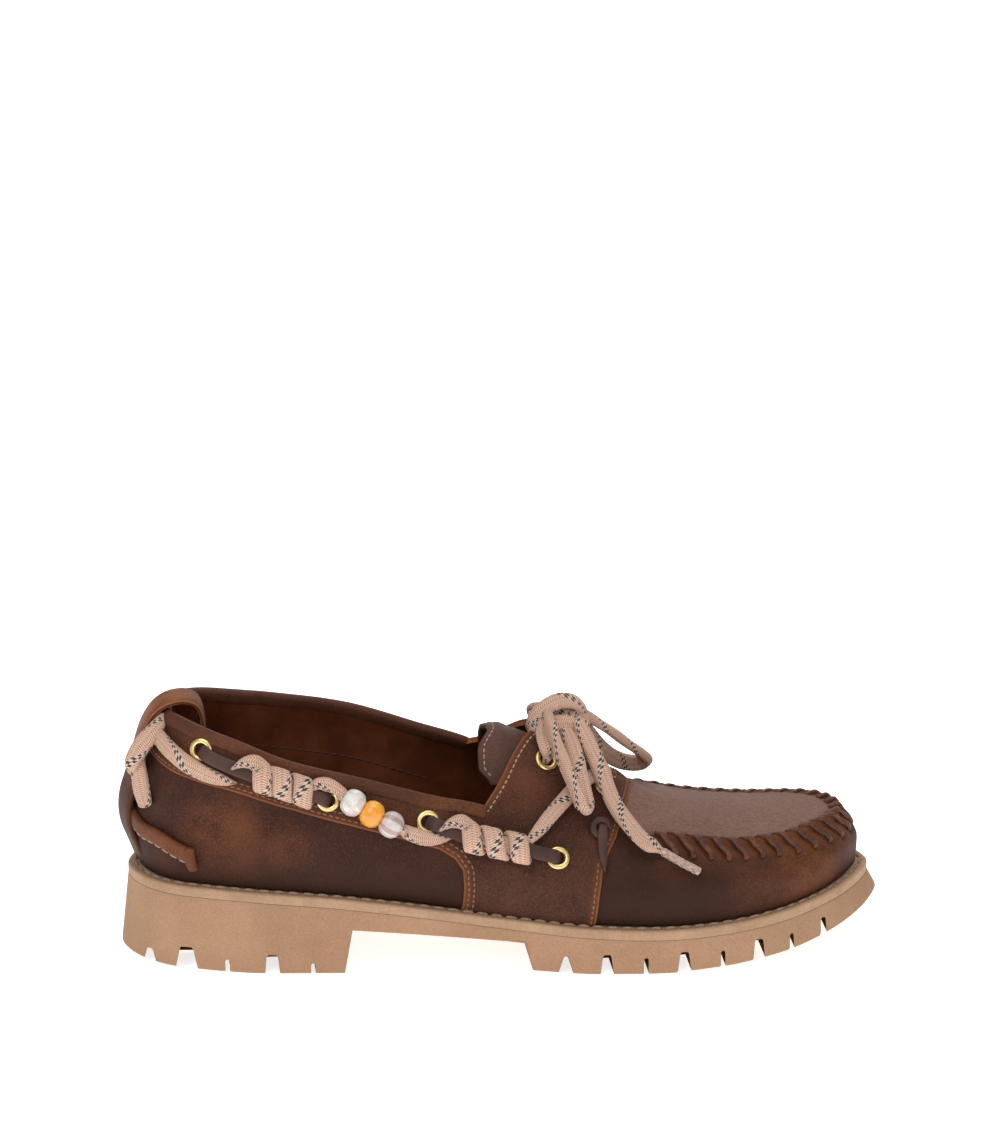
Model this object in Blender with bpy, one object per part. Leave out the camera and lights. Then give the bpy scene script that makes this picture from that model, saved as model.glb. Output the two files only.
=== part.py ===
"""Lace-up moccasin loafer on a lugged rubber sole: the right shoe of a pair.

Metres in Blender, +X to the toe, +Z up, +Y to the inner (medial) side of the foot.
Every size below is in millimetres, with x counted from the back of the sole.
"""
import math
from collections import namedtuple

import bmesh
import bpy
import numpy as np
from mathutils import Vector

MM = 0.001
CENTRE_X, CENTRE_Y = 146.6, -1.4      # middle of the shoe, moved to the world origin

# ---- driving sizes ----------------------------------------------------------
GAP = 0.35                 # clearance between pieces that touch on the real shoe
WALL = 2.2                 # leather of the upper with its lining
FEATHER_INSET = 3.8        # shelf of the welt that shows outside the upper
WELT_THICK = 3.6
INSOLE_THICK = 3.0
TONGUE_THICK = 2.4
STRAP_WIDTH, STRAP_THICK = 16.0, 2.4
BAND_WIDTH, BAND_THICK = 8.4, 2.2
HEEL_FAN, TOE_FAN = 40.0, 250.0       # the sections turn about these two points at the ends
FAN_SPAN = 40.0            # stretch of the section number that one quarter turn takes
THONG_WIDTH, THONG_THICK = 5.0, 1.8
CORD_DIAMETER = 5.2        # the flat lace where it hangs free, as a round cord of like section
EYELET_OUTER, EYELET_BORE, EYELET_FLANGE, EYELET_SHEET = 9.8, 5.0, 1.0, 0.5
BEAD_SIZE, BEAD_LENGTH, BEAD_BORE = 10.4, 7.8, 4.6
LACE_IN_BEAD = 3.0
EYELET_SIDES = 10

LATERAL, MEDIAL = -1, 1
SIDE_NAMES = {LATERAL: "lateral", MEDIAL: "medial"}

# ---- sole: half widths of the welt, its top, the tread, and how far the foot of the wall flares
Sole = namedtuple("Sole", "x lateral medial top tread flare")
SOLE = [
    Sole(3.6, 0.0, 0.0, 33.6, 1.6, 3.2),
    Sole(8.0, 14.4, 14.8, 33.5, 1.5, 2.9),
    Sole(18.0, 25.4, 24.8, 33.4, 1.2, 2.4),
    Sole(32.0, 31.4, 29.8, 33.1, 0.7, 1.8),
    Sole(50.0, 35.8, 32.0, 32.2, 0.0, 1.2),
    Sole(80.0, 39.2, 31.8, 29.9, 0.0, 0.8),
    Sole(110.0, 42.0, 33.0, 26.3, 0.0, 0.4),
    Sole(145.0, 46.0, 38.5, 21.6, 1.6, 0.2),
    Sole(175.0, 50.6, 45.5, 18.4, 0.0, 0.3),
    Sole(205.0, 52.4, 49.6, 17.2, 0.0, 0.6),
    Sole(230.0, 50.0, 48.2, 18.2, 1.9, 1.2),
    Sole(250.0, 43.8, 43.8, 20.0, 4.6, 2.2),
    Sole(264.0, 35.2, 37.4, 21.5, 7.2, 3.0),
    Sole(275.0, 25.4, 29.4, 22.7, 9.6, 3.5),
    Sole(284.0, 13.2, 17.4, 23.6, 11.6, 3.9),
    Sole(289.2, 0.0, 0.0, 24.0, 13.0, 4.0),
]
HEEL_BREAST, HEEL_BREAST_FOOT = 86.5, 83.5
FOREPART_STEP, FOREPART_STEP_FOOT = 152.0, 153.6
WAIST_UNDER = [(86.5, 17.2), (110.0, 15.4), (145.0, 12.6), (152.0, 11.8)]

Notch = namedtuple("Notch", "x mouth root depth")
NOTCHES = [
    Notch(10.5, 4.0, 2.0, 4.0), Notch(24.0, 8.0, 4.6, 7.6), Notch(39.2, 1.8, 1.4, 4.2),
    Notch(56.0, 5.6, 4.0, 6.8), Notch(71.3, 1.8, 1.4, 3.4),
    Notch(166.0, 5.2, 1.4, 6.0), Notch(181.5, 5.0, 2.8, 7.2), Notch(196.2, 1.9, 1.5, 5.8),
    Notch(210.8, 5.2, 3.0, 7.2), Notch(225.6, 1.9, 1.4, 5.6), Notch(239.8, 4.6, 3.0, 6.8),
    Notch(253.0, 1.9, 1.2, 5.0), Notch(266.5, 2.6, 1.8, 5.0),
]
NOTCH_REACH = 17.0         # how far a notch runs in from the edge of the tread
CHANNELS = [(17.0, 78.0), (160.0, 262.0)]     # grooves along the middle of heel and forepart
CHANNEL_WIDTH, CHANNEL_DEPTH = 4.4, 5.0

# ---- upper: one row per section, counted along the shoe and round each end ----------------
# rim: collar as far as CORNER, after it the shoulder that becomes the seam of the moccasin plug.
# wall and inner: slope of the leather, in degrees, below and above the rim.
Section = namedtuple("Section", "t bulge belly rim_lat z_lat rim_med z_med wall inner crown")
CORNER = 136.0             # front corner of the collar
SECTIONS = [
    Section(0, 1.9, 50, 20.4, 94.8, 20.4, 94.8, 60, 45, 96),
    Section(10, 2.0, 50, 21.0, 95.2, 21.0, 95.0, 61, 45, 96),
    Section(20, 2.4, 49, 23.0, 95.8, 22.8, 94.8, 66, 45, 96),
    Section(30, 2.6, 49, 25.6, 94.4, 25.0, 93.6, 71, 45, 95),
    Section(40, 2.8, 49, 27.4, 91.0, 26.6, 92.0, 75, 45, 95),
    Section(62, 3.0, 47, 31.4, 82.2, 30.4, 88.2, 76, 45, 94),
    Section(90, 3.2, 44, 33.0, 74.6, 32.4, 82.6, 72, 45, 92),
    Section(118, 3.4, 40, 34.2, 66.8, 33.4, 72.8, 63, 46, 89),
    Section(136, 3.4, 38, 34.6, 62.6, 33.6, 66.4, 57, 48, 86),
    Section(150, 3.4, 36, 37.6, 55.6, 35.6, 58.0, 52, 47, 87),
    Section(161, 3.2, 34, 38.2, 53.0, 35.6, 55.0, 50, 46, 85),
    Section(175, 3.0, 32, 37.6, 50.8, 34.6, 52.4, 42, 39, 74),
    Section(190, 2.8, 31, 36.0, 49.2, 33.4, 50.4, 33, 31, 61.5),
    Section(207, 2.6, 31, 33.2, 48.0, 32.4, 47.6, 27, 17, 53.4),
    Section(220, 2.4, 31, 32.2, 45.8, 31.8, 45.2, 24, 11, 49.4),
    Section(235, 2.2, 31, 31.0, 44.2, 31.2, 43.6, 23, 8, 47.0),
    Section(250, 1.8, 31, 26.6, 44.0, 30.2, 43.0, 25, 7, 46.0),
    Section(260, 1.3, 31, 23.8, 44.5, 30.2, 43.4, 28, 7, 46.0),
    Section(270, 0.9, 32, 23.4, 45.2, 31.0, 43.8, 32, 7, 46.0),
    Section(280, 0.6, 33, 25.0, 45.0, 29.4, 44.2, 36, 7, 46.0),
    Section(290, 0.5, 33, 27.4, 44.6, 27.4, 44.6, 38, 7, 46.0),
]
# half width of the throat between the facings, from the corner of the collar to its closed end
Throat = namedtuple("Throat", "x lateral medial")
THROAT = [Throat(136, 34.6, 33.6), Throat(143, 26.6, 27.6), Throat(150, 17.4, 21.0),
          Throat(156, 10.4, 15.6), Throat(161, 6.6, 12.4), Throat(165, 5.6, 10.8),
          Throat(176, 5.4, 8.4), Throat(184, 4.8, 6.0), Throat(188, 3.2, 3.6),
          Throat(190, 0.0, 0.0)]
THROAT_END = 190.0

# ---- tongue: top of its ridge, half width, and how far its edges drop --------------------
Tongue = namedtuple("Tongue", "x top half drop")
TONGUE = [Tongue(132, 85.4, 19.0, 20), Tongue(141, 85.6, 20, 19), Tongue(148, 83.6, 21, 17),
          Tongue(155, 80.2, 22, 15), Tongue(165, 74.5, 22, 13), Tongue(178, 66.8, 21, 11),
          Tongue(190, 58.0, 19, 9), Tongue(206, 50.0, 16, 7)]
TONGUE_REAR, TONGUE_FRONT = 141.0, 206.0

# ---- heel strap: centre line in the middle plane, outside, over the collar and down inside
HEEL_STRAP = [(5.3, 35.4), (3.4, 42), (1.3, 50), (1.2, 57), (1.1, 62), (1.7, 67.5), (3.6, 73.5),
              (6.0, 79), (8.6, 84.2), (11.8, 90.0), (15.2, 94.8), (20.4, 98.4), (26.6, 99.2),
              (30.7, 97.4), (32.7, 92.6), (32.7, 87.2), (29.8, 81.2), (24.6, 76.2), (19.2, 72.0),
              (15.0, 67.6), (12.4, 62.4)]

# ---- what lies on the wall: section, height and lift of a centre line, with its two sizes
Lay = namedtuple("Lay", "t z lift width thick")
Spot = namedtuple("Spot", "name t z")
EYELETS = [Spot("rear", 32.2, 86.8), Spot("middle", 77.9, 68.2), Spot("front", 115.1, 59.0),
           Spot("side", 163.4, 44.9), Spot("top", 161.4, 75.1), Spot("low", 183.3, 62.4)]
HEEL_BAND = [(0, 54.6), (10, 51.3), (18, 50.0), (24, 47.2), (28.5, 44.8)]
WRAP_REAR = [Lay(52.8, 77.4, 4.7, 10.4, 7.0), Lay(58.6, 75.7, 4.7, 12.4, 8.6),
             Lay(65.4, 73.3, 4.7, 12.4, 8.6), Lay(71.2, 71.0, 4.7, 10.4, 7.0)]
WRAP_FRONT = [Lay(129.4, 52.9, 4.7, 10.4, 7.0), Lay(136.2, 51.3, 4.7, 12.4, 8.6),
              Lay(144.6, 49.3, 4.7, 12.4, 8.6), Lay(151.6, 47.5, 4.7, 10.4, 7.0)]
THONG_REAR = [(32.6, 86.5, 2.9), (37.4, 83.6, 2.9), (42.5, 81.2, 3.6), (48.0, 79.2, 4.4)]
THONG_REAR_END = [(74.4, 69.7, 3.7), (77.6, 68.3, 2.8)]
THONG_FRONT = [(115.5, 58.7, 2.8), (120.4, 56.7, 3.0), (125.2, 54.6, 4.0)]
THONG_FRONT_END = [(155.6, 46.5, 3.9), (159.2, 45.7, 2.8), (163.0, 45.0, 2.7)]
BEADS = [("bead_marble", "marble", 86.9, 67.2), ("bead_amber", "amber", 93.9, 62.9),
         ("bead_crystal", "crystal", 101.0, 58.9)]
BEAD_LIFT = 5.8
LACE_TO_BEADS = [Lay(73.6, 75.2, 6.3, 4.0, 3.0), Lay(76.6, 75.2, 6.4, 6.0, 3.0),
                 Lay(79.8, 73.2, 6.2, 4.8, 3.2)]
LACE_FROM_BEADS = [Lay(108.6, 54.5, 4.4, 6.0, 3.0), Lay(113.6, 52.3, 2.8, 7.4, 2.8),
                   Lay(119.0, 50.8, 2.2, 6.0, 2.6), Lay(124.8, 49.7, 1.8, 3.0, 2.4)]
LACE_HEEL = [Lay(49.4, 74.6, 1.8, 3.0, 2.4), Lay(43.6, 75.0, 2.2, 5.8, 2.8),
             Lay(37.0, 76.8, 2.4, 7.2, 3.0), Lay(30.0, 79.7, 2.6, 7.2, 3.0),
             Lay(23.0, 83.7, 2.7, 7.4, 3.0), Lay(15.0, 86.8, 2.4, 7.2, 2.8),
             Lay(7.0, 86.8, 1.7, 6.8, 2.3), Lay(0.0, 86.2, 1.6, 6.8, 2.2)]
LACE_RUN = [Lay(154.2, 51.6, 4.8, 4.4, 3.2), Lay(157.4, 54.4, 3.8, 7.6, 3.2),
            Lay(162.8, 58.8, 3.0, 8.4, 3.2), Lay(168.4, 62.9, 3.0, 8.0, 3.2),
            Lay(174.0, 65.8, 3.2, 6.4, 3.2), Lay(180.2, 64.4, 3.3, 4.0, 3.0)]
LACE_BAR = [Lay(185.2, 61.6, 3.4, 4.4, 2.8), Lay(186.0, 63.0, 3.1, 7.8, 3.0)]

# ---- laces clear of the wall: centre line, where its flat side faces, and its two sizes
Free = namedtuple("Free", "x y z turn lean width thick")
LACE_TWIST = [Free(9.4, -12.4, 86.6, -105, 0, 4.0, 3.0), Free(8.0, -12.0, 82.6, -105, 0, 5.6, 3.0),
              Free(6.6, -11.6, 78.4, -108, 0, 6.4, 3.0), Free(6.2, -11.6, 74.0, -112, 0, 6.4, 3.0),
              Free(7.2, -13.2, 68.6, -125, 0, 6.4, 3.0), Free(8.4, -15.4, 63.4, -140, 0, 6.4, 3.0),
              Free(9.5, -16.0, 59.2, -148, 0, 4.6, 2.6)]
LACE_TIE_FOOT = Lay(161.5, 75.3, 2.9, 4.2, 2.8)
LACE_TIE = [Free(161.6, -20.2, 80.8, -92, 40, 6.4, 3.2), Free(161.0, -15.4, 84.4, -95, 55, 6.4, 3.2),
            Free(160.8, -11.2, 85.6, -95, 70, 4.4, 2.8)]

# ---- bow: the knot and the four cords that hang from it ----------------------------------
KNOT_PLACE, KNOT_RADII = (168.0, -3.4, 89.2), (9.2, 6.2, 5.6)
LOOP_LATERAL = [(163.6, -11.1, 91.3), (163.4, -19.0, 88.8), (164.9, -25.5, 83.9),
                (169.7, -35.5, 72.0), (171.9, -38.0, 66.4), (174.4, -39.2, 61.2),
                (177.2, -36.8, 61.2), (176.2, -31.8, 67.0), (173.9, -27.0, 73.0),
                (170.8, -15.5, 82.9), (169.0, -10.9, 85.8)]
LOOP_MEDIAL = [(178.0, 0.6, 87.3), (183.6, 6.2, 82.5), (190.0, 11.0, 77.9), (203.1, 22.0, 62.9),
               (205.8, 27.4, 58.4), (204.0, 30.4, 55.6), (198.6, 28.0, 56.8),
               (192.9, 23.1, 61.5), (186.9, 18.0, 69.7), (179.6, 12.4, 78.2),
               (175.0, 5.6, 84.4), (173.0, 4.4, 86.4)]
END_LATERAL = [(174.0, -9.2, 87.9), (176.2, -13.0, 84.2), (179.8, -17.5, 76.8),
               (184.4, -23.3, 68.6), (186.5, -29.6, 60.6), (191.2, -37.2, 54.8),
               (196.3, -42.6, 50.0), (208.6, -48.8, 43.8), (215.1, -51.0, 40.6)]
END_MEDIAL = [(166.0, 3.4, 86.8), (167.4, 11.6, 83.6), (171.2, 20.2, 77.2), (176.2, 29.0, 69.4),
              (182.0, 37.2, 60.4), (188.6, 43.6, 51.6), (194.8, 47.4, 44.4), (200.0, 49.8, 39.0)]
CORDS = [("lace_loop_lateral", LOOP_LATERAL), ("lace_loop_medial", LOOP_MEDIAL),
         ("lace_end_lateral", END_LATERAL), ("lace_end_medial", END_MEDIAL)]


# ---- curves and tables ------------------------------------------------------
def hermite(p0, m0, p1, m1, k):
    """Cubic from p0 to p1 with end slopes m0 and m1, at k from 0 to 1."""
    return ((2 * k ** 3 - 3 * k ** 2 + 1) * p0 + (k ** 3 - 2 * k ** 2 + k) * m0
            + (3 * k ** 2 - 2 * k ** 3) * p1 + (k ** 3 - k ** 2) * m1)


def smooth(xs, ys, x):
    """Smooth reading of a table whose places xs rise, held level outside it."""
    xs, ys = np.asarray(xs, float), np.asarray(ys, float)
    x = min(max(x, xs[0]), xs[-1])
    i = min(int(np.searchsorted(xs, x, side="right")) - 1, len(xs) - 2)
    span = xs[i + 1] - xs[i]
    slopes = []
    for j in (i, i + 1):
        a, b = max(j - 1, 0), min(j + 1, len(xs) - 1)
        slopes.append((ys[b] - ys[a]) / (xs[b] - xs[a]) * span)
    return float(hermite(ys[i], slopes[0], ys[i + 1], slopes[1], (x - xs[i]) / span))


def reading(rows, column, x, key="x"):
    return smooth([getattr(r, key) for r in rows], [getattr(r, column) for r in rows], x)


def spline(points, per_span, closed=False):
    """Centripetal spline through points, with per_span steps between two of them."""
    pts = [np.asarray(p, float) for p in points]
    if closed:
        pts = [pts[-1]] + pts + pts[:2]
    else:
        pts = [2 * pts[0] - pts[1]] + pts + [2 * pts[-1] - pts[-2]]
    out = []
    for p0, p1, p2, p3 in zip(pts, pts[1:], pts[2:], pts[3:]):
        d = [max(np.linalg.norm(b - a), 1e-6) ** 0.5 for a, b in ((p0, p1), (p1, p2), (p2, p3))]
        m1 = d[1] * ((p1 - p0) / d[0] - (p2 - p0) / (d[0] + d[1]) + (p2 - p1) / d[1])
        m2 = d[1] * ((p2 - p1) / d[1] - (p3 - p1) / (d[1] + d[2]) + (p3 - p2) / d[2])
        out += [hermite(p1, m1, p2, m2, k / per_span) for k in range(per_span)]
    if not closed:
        out.append(pts[-2])
    return np.array(out)


def outline(inset):
    """Closed outline of the welt moved inwards by inset: points in the plan."""
    inner = SOLE[1:-1]
    knots = ([(SOLE[0].x, 0)] + [(r.x, -r.lateral) for r in inner]
             + [(SOLE[-1].x, 0)] + [(r.x, r.medial) for r in reversed(inner)])
    ring = spline(knots, 16, closed=True)
    along = np.roll(ring, -1, axis=0) - np.roll(ring, 1, axis=0)
    inward = np.stack([-along[:, 1], along[:, 0]], axis=1)
    return ring + inward / np.linalg.norm(inward, axis=1)[:, None] * inset


def half_outline(inset, side):
    """One side of the outline, from the heel to the toe, with x rising."""
    ring = outline(inset)
    start, end = int(np.argmin(ring[:, 0])), int(np.argmax(ring[:, 0]))
    order = np.roll(ring, -start, axis=0)
    end = (end - start) % len(ring)
    half = order[:end + 1] if side == LATERAL else np.vstack([order[end:], order[:1]])[::-1]
    return half


def welt_top(x):
    return reading(SOLE, "top", x)


# ---- the form of the upper --------------------------------------------------
BASE = {side: half_outline(FEATHER_INSET, side) for side in (LATERAL, MEDIAL)}


def fan(side, t):
    """Axis point and outward direction of section t in the plan."""
    if t < HEEL_FAN:
        turn = math.radians(90 * t / FAN_SPAN)
        return np.array([HEEL_FAN, 0.0]), np.array([-math.cos(turn), side * math.sin(turn)])
    if t > TOE_FAN:
        turn = math.radians(90 * (t - TOE_FAN) / FAN_SPAN)
        return np.array([TOE_FAN, 0.0]), np.array([math.sin(turn), side * math.cos(turn)])
    return np.array([t, 0.0]), np.array([0.0, float(side)])


def base_reach(side, t):
    """Distance from the axis point of section t out to the foot of the upper."""
    axis, out = fan(side, t)
    half = BASE[side] - axis
    across = np.array([-out[1], out[0]])
    off, along = half @ across, half @ out
    ahead = along > 0
    order = np.argsort(off[ahead])
    return float(np.interp(0.0, off[ahead][order], along[ahead][order]))


def section(side, t, w):
    """Point of the upper's outer face: w 0 foot, 1 belly, 2 rim, 3 crown on the centre line."""
    axis, out = fan(side, t)
    foot = base_reach(side, t)
    at_foot = axis + out * foot
    low = np.array([foot, welt_top(at_foot[0]) + GAP])
    belly = np.array([foot + reading(SECTIONS, "bulge", t, "t"),
                      reading(SECTIONS, "belly", t, "t")])
    tag = "lat" if side == LATERAL else "med"
    rim = np.array([reading(SECTIONS, "rim_" + tag, t, "t"),
                    reading(SECTIONS, "z_" + tag, t, "t")])
    crown = np.array([0.0, reading(SECTIONS, "crown", t, "t")])
    if w <= 1:
        rise = belly[1] - low[1]
        rz = hermite(low, np.array([(belly[0] - foot) * 1.9, rise]), belly,
                     np.array([0.0, rise]), w)
    elif w <= 2:
        angle = math.radians(reading(SECTIONS, "wall", t, "t"))
        reach = np.linalg.norm(rim - belly)
        rz = hermite(belly, np.array([0.0, reach]), rim,
                     reach * np.array([-math.cos(angle), math.sin(angle)]), w - 1)
    else:
        angle = math.radians(reading(SECTIONS, "inner", t, "t"))
        reach = np.linalg.norm(crown - rim)
        rz = hermite(rim, reach * np.array([-math.cos(angle), math.sin(angle)]), crown,
                     np.array([-reach, 0.0]), min(w, 3) - 2)
    place = axis + out * rz[0]
    return Vector((place[0], place[1], rz[1]))


def top_of(side, t):
    """Where section t ends: the collar, the facing's edge, or the crown."""
    if t <= CORNER:
        return 2.0
    if t >= THROAT_END:
        return 3.0
    half = reading(THROAT, SIDE_NAMES[side], t)
    low, high = 2.0, 3.0
    for _ in range(30):
        mid = (low + high) / 2
        low, high = (mid, high) if abs(section(side, t, mid).y) > half else (low, mid)
    return (low + high) / 2


def on_wall(side, t, z, lift=0.0):
    """Point of the outer face at section t and height z, moved out by lift, and its normal."""
    low, high = 0.0, 2.0 if t <= CORNER else 3.0
    for _ in range(30):
        mid = (low + high) / 2
        low, high = (mid, high) if section(side, t, mid).z < z else (low, mid)
    w, step = (low + high) / 2, 0.02
    up = section(side, t, min(w + step, 3)) - section(side, t, w - step)
    along = section(side, t + 0.5, w) - section(side, t - 0.5, w)
    normal = along.cross(up).normalized() * (1 if side == LATERAL else -1)
    return section(side, t, w) + normal * lift, normal


# ---- making objects ---------------------------------------------------------
COLOURS = {
    "rubber": ((0.36, 0.22, 0.13), 0.75, 0), "welt": ((0.56, 0.38, 0.25), 0.65, 0),
    "leather": ((0.060, 0.030, 0.020), 0.60, 0), "lining": ((0.12, 0.045, 0.02), 0.5, 0),
    "rolled": ((0.12, 0.050, 0.022), 0.55, 0), "lace": ((0.42, 0.26, 0.19), 0.85, 0),
    "thong": ((0.035, 0.016, 0.012), 0.5, 0), "brass": ((0.80, 0.58, 0.20), 0.25, 1),
    "marble": ((0.80, 0.70, 0.66), 0.3, 0), "amber": ((0.85, 0.42, 0.04), 0.2, 0),
    "crystal": ((0.70, 0.52, 0.50), 0.1, 0),
}


def material(name):
    made = bpy.data.materials.get(name)
    if made:
        return made
    colour, roughness, metallic = COLOURS[name]
    made = bpy.data.materials.new(name)
    made.use_nodes = True
    shader = made.node_tree.nodes["Principled BSDF"]
    shader.inputs["Base Color"].default_value = (*colour, 1)
    shader.inputs["Roughness"].default_value = roughness
    shader.inputs["Metallic"].default_value = metallic
    return made


def world(point):
    return Vector(((point[0] - CENTRE_X) * MM, (point[1] - CENTRE_Y) * MM, point[2] * MM))


def add(name, finish, points, faces, crease=35):
    """Object from points in millimetres; faces are turned outwards."""
    bm = bmesh.new()
    verts = [bm.verts.new(world(p)) for p in points]
    for face in faces:
        bm.faces.new([verts[i] for i in face])
    bmesh.ops.recalc_face_normals(bm, faces=bm.faces)
    mesh = bpy.data.meshes.new(name)
    bm.to_mesh(mesh)
    bm.free()
    mesh.shade_smooth()
    mesh.set_sharp_from_angle(angle=math.radians(crease))
    mesh.materials.append(material(finish))
    obj = bpy.data.objects.new(name, mesh)
    bpy.context.scene.collection.objects.link(obj)
    return obj


def modifier(obj, kind, **settings):
    made = obj.modifiers.new(kind.title(), kind)
    for key, value in settings.items():
        setattr(made, key, value)
    return made


def tube_faces(rings, sides, closed=False):
    """Faces of a tube of rings with flat caps, or of one that meets itself."""
    faces = []
    last = rings if closed else rings - 1
    for r in range(last):
        a, b = r * sides, (r + 1) % rings * sides
        for k in range(sides):
            n = (k + 1) % sides
            faces.append((a + k, a + n, b + n, b + k))
    if not closed:
        faces.append(tuple(range(sides))[::-1])
        faces.append(tuple(range((rings - 1) * sides, rings * sides)))
    return faces


def rounded(turn, width, thick):
    """Point of a flat section with round corners, across and up from its centre."""
    c, n = math.cos(turn), math.sin(turn)
    return (math.copysign(abs(c) ** 0.6, c) * width / 2, math.copysign(abs(n) ** 0.6, n) * thick / 2)


def ring(path, i, normal, width, thick, sides):
    """Section of a flat strip at point i of its path, its flat side along the normal."""
    ahead = (path[min(i + 1, len(path) - 1)] - path[max(i - 1, 0)]).normalized()
    across = ahead.cross(normal).normalized()
    up = across.cross(ahead).normalized()
    turns = [2 * math.pi * (k + 0.5) / sides for k in range(sides)]
    return [path[i] + across * a + up * b for a, b in (rounded(t, width, thick) for t in turns)]


def strip(name, finish, route, sides=8):
    """Flat lace, thong or strap along a route of (point, normal, width, thick)."""
    path = [r[0] for r in route]
    points = [p for i, r in enumerate(route) for p in ring(path, i, r[1], r[2], r[3], sides)]
    return add(name, finish, points, tube_faces(len(route), sides))


def route(stops, per_span=2):
    """Smooth route through stops of (point, normal, width, thick)."""
    flat = spline([(*p, *n, width, thick) for p, n, width, thick in stops], per_span)
    return [(Vector(f[:3]), Vector(f[3:6]).normalized(), f[6], f[7]) for f in flat]


def laid(side, rows):
    """Stops on the wall of one side from rows of Lay."""
    stops = []
    for row in rows:
        point, normal = on_wall(side, row.t, row.z, row.lift)
        stops.append((point, normal, row.width, row.thick))
    return stops


def freed(side, rows):
    """Stops clear of the wall from rows of Free, written for the lateral side."""
    flip = 1 if side == LATERAL else -1
    stops = []
    for row in rows:
        turn, lean = math.radians(row.turn * flip), math.radians(row.lean)
        normal = Vector((math.cos(lean) * math.cos(turn), math.cos(lean) * math.sin(turn),
                         math.sin(lean)))
        stops.append((Vector((row.x, row.y * flip, row.z)), normal, row.width, row.thick))
    return stops


def turned(name, finish, centre, axis, profile, sides):
    """Ring-shaped body from a closed profile of (radius, height) turned round its axis."""
    axis = axis.normalized()
    side = axis.orthogonal().normalized()
    other = axis.cross(side)
    points = []
    for k in range(sides):
        turn = 2 * math.pi * k / sides
        out = side * math.cos(turn) + other * math.sin(turn)
        points += [centre + out * r + axis * h for r, h in profile]
    return add(name, finish, points, tube_faces(sides, len(profile), closed=True))


# ---- sole -------------------------------------------------------------------
def sole_stations(count):
    """x places along the sole, closer together at the two ends, with the steps of the tread."""
    start, end = SOLE[0].x, SOLE[-1].x
    xs = [start + (end - start) * (1 - math.cos(math.pi * k / count)) / 2
          for k in range(1, count)]
    return xs


def half_width(inset, side, x):
    half = half_outline(inset, side)
    return float(np.interp(x, half[:, 0], half[:, 1]))


def slab(name, finish, inset, xs, top, under, flare=None):
    """Plate between two heights that change only along the shoe."""
    halves = {side: half_outline(inset, side) for side in (LATERAL, MEDIAL)}
    start, end = halves[LATERAL][0][0], halves[LATERAL][-1][0]
    xs = [x for x in xs if start + 0.6 < x < end - 0.6]
    tips = [(start, 0.0), (end, 0.0)]
    rims = [tips[0]] + [(x, float(np.interp(x, *halves[LATERAL].T))) for x in xs] + [tips[1]]
    rims += [(x, float(np.interp(x, *halves[MEDIAL].T))) for x in reversed(xs)]
    n = len(rims)
    points = [(x, y, top(x)) for x, y in rims]
    for x, y in rims:
        out = 0.0 if flare is None else flare(x)
        stretch = 1 + out / 50
        shift = (x - CENTRE_X) * out / 146
        points.append((x + shift, y * stretch, under(x)))
    faces = []
    half = len(xs) + 1
    for level in (0, n):
        faces.append((level, level + 1, level + n - 1))
        faces.append((level + half, level + half + 1, level + half - 1))
        for k in range(1, half - 1):
            faces.append((level + k, level + k + 1, level + n - k - 1, level + n - k))
    faces += [(k, (k + 1) % n, n + (k + 1) % n, n + k) for k in range(n)]
    return add(name, finish, points, faces, crease=40)


def tread(x):
    """Height of the underside: heel block, waist and forepart."""
    if HEEL_BREAST_FOOT < x < FOREPART_STEP_FOOT:
        return float(np.interp(x, *zip(*WAIST_UNDER)))
    return float(np.interp(x, [r.x for r in SOLE], [r.tread for r in SOLE]))


def make_outsole():
    xs = sole_stations(34)
    steps = (HEEL_BREAST_FOOT, HEEL_BREAST, FOREPART_STEP, FOREPART_STEP_FOOT)
    xs = [x for x in xs if all(abs(x - s) > 2.5 for s in steps)]
    xs = sorted(xs + [HEEL_BREAST_FOOT - 0.01, HEEL_BREAST, FOREPART_STEP,
                      FOREPART_STEP_FOOT + 0.01])
    body = slab("outsole", "rubber", 0.0, xs,
                lambda x: welt_top(x) - WELT_THICK - GAP, tread,
                lambda x: reading(SOLE, "flare", x))
    cutter = tread_cutter()
    modifier(body, "BOOLEAN", object=cutter, operation="DIFFERENCE", solver="EXACT")
    return body


def wedge(points, faces, x, y0, y1, mouth, root, low, high):
    """Adds a bar across the tread, wider at its mouth, to points and faces."""
    first = len(points)
    for y in (y0, y1):
        points += [(x - mouth / 2, y, low), (x + mouth / 2, y, low),
                   (x + root / 2, y, high), (x - root / 2, y, high)]
    a = first
    faces += [(a, a + 1, a + 2, a + 3), (a + 7, a + 6, a + 5, a + 4)]
    faces += [(a + k, a + 4 + k, a + 4 + (k + 1) % 4, a + (k + 1) % 4) for k in range(4)]


def tread_cutter():
    """All grooves of the tread as one cutting object of separate bars."""
    points, faces = [], []
    for notch in NOTCHES:
        low = tread(notch.x)
        for side in (LATERAL, MEDIAL):
            edge = half_width(0.0, side, notch.x)
            inner = edge - side * NOTCH_REACH
            if abs(inner) < 4 or inner * side < 0:
                inner = side * 4.0
            wedge(points, faces, notch.x, min(inner, edge + side * 8), max(inner, edge + side * 8),
                  notch.mouth + 1.2, notch.root, low - 3, low + notch.depth)
    half = CHANNEL_WIDTH / 2
    for start, end in CHANNELS:
        first = len(points)
        points += [(x, y, z) for z in (-3, CHANNEL_DEPTH)
                   for x, y in ((start, -half), (end, -half), (end, half), (start, half))]
        faces += [tuple(first + i for i in face) for face in tube_faces(2, 4)]
    cutter = add("tread_cutter", "rubber", points, faces)
    cutter.hide_render = True
    cutter.display_type = "WIRE"
    return cutter


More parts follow.
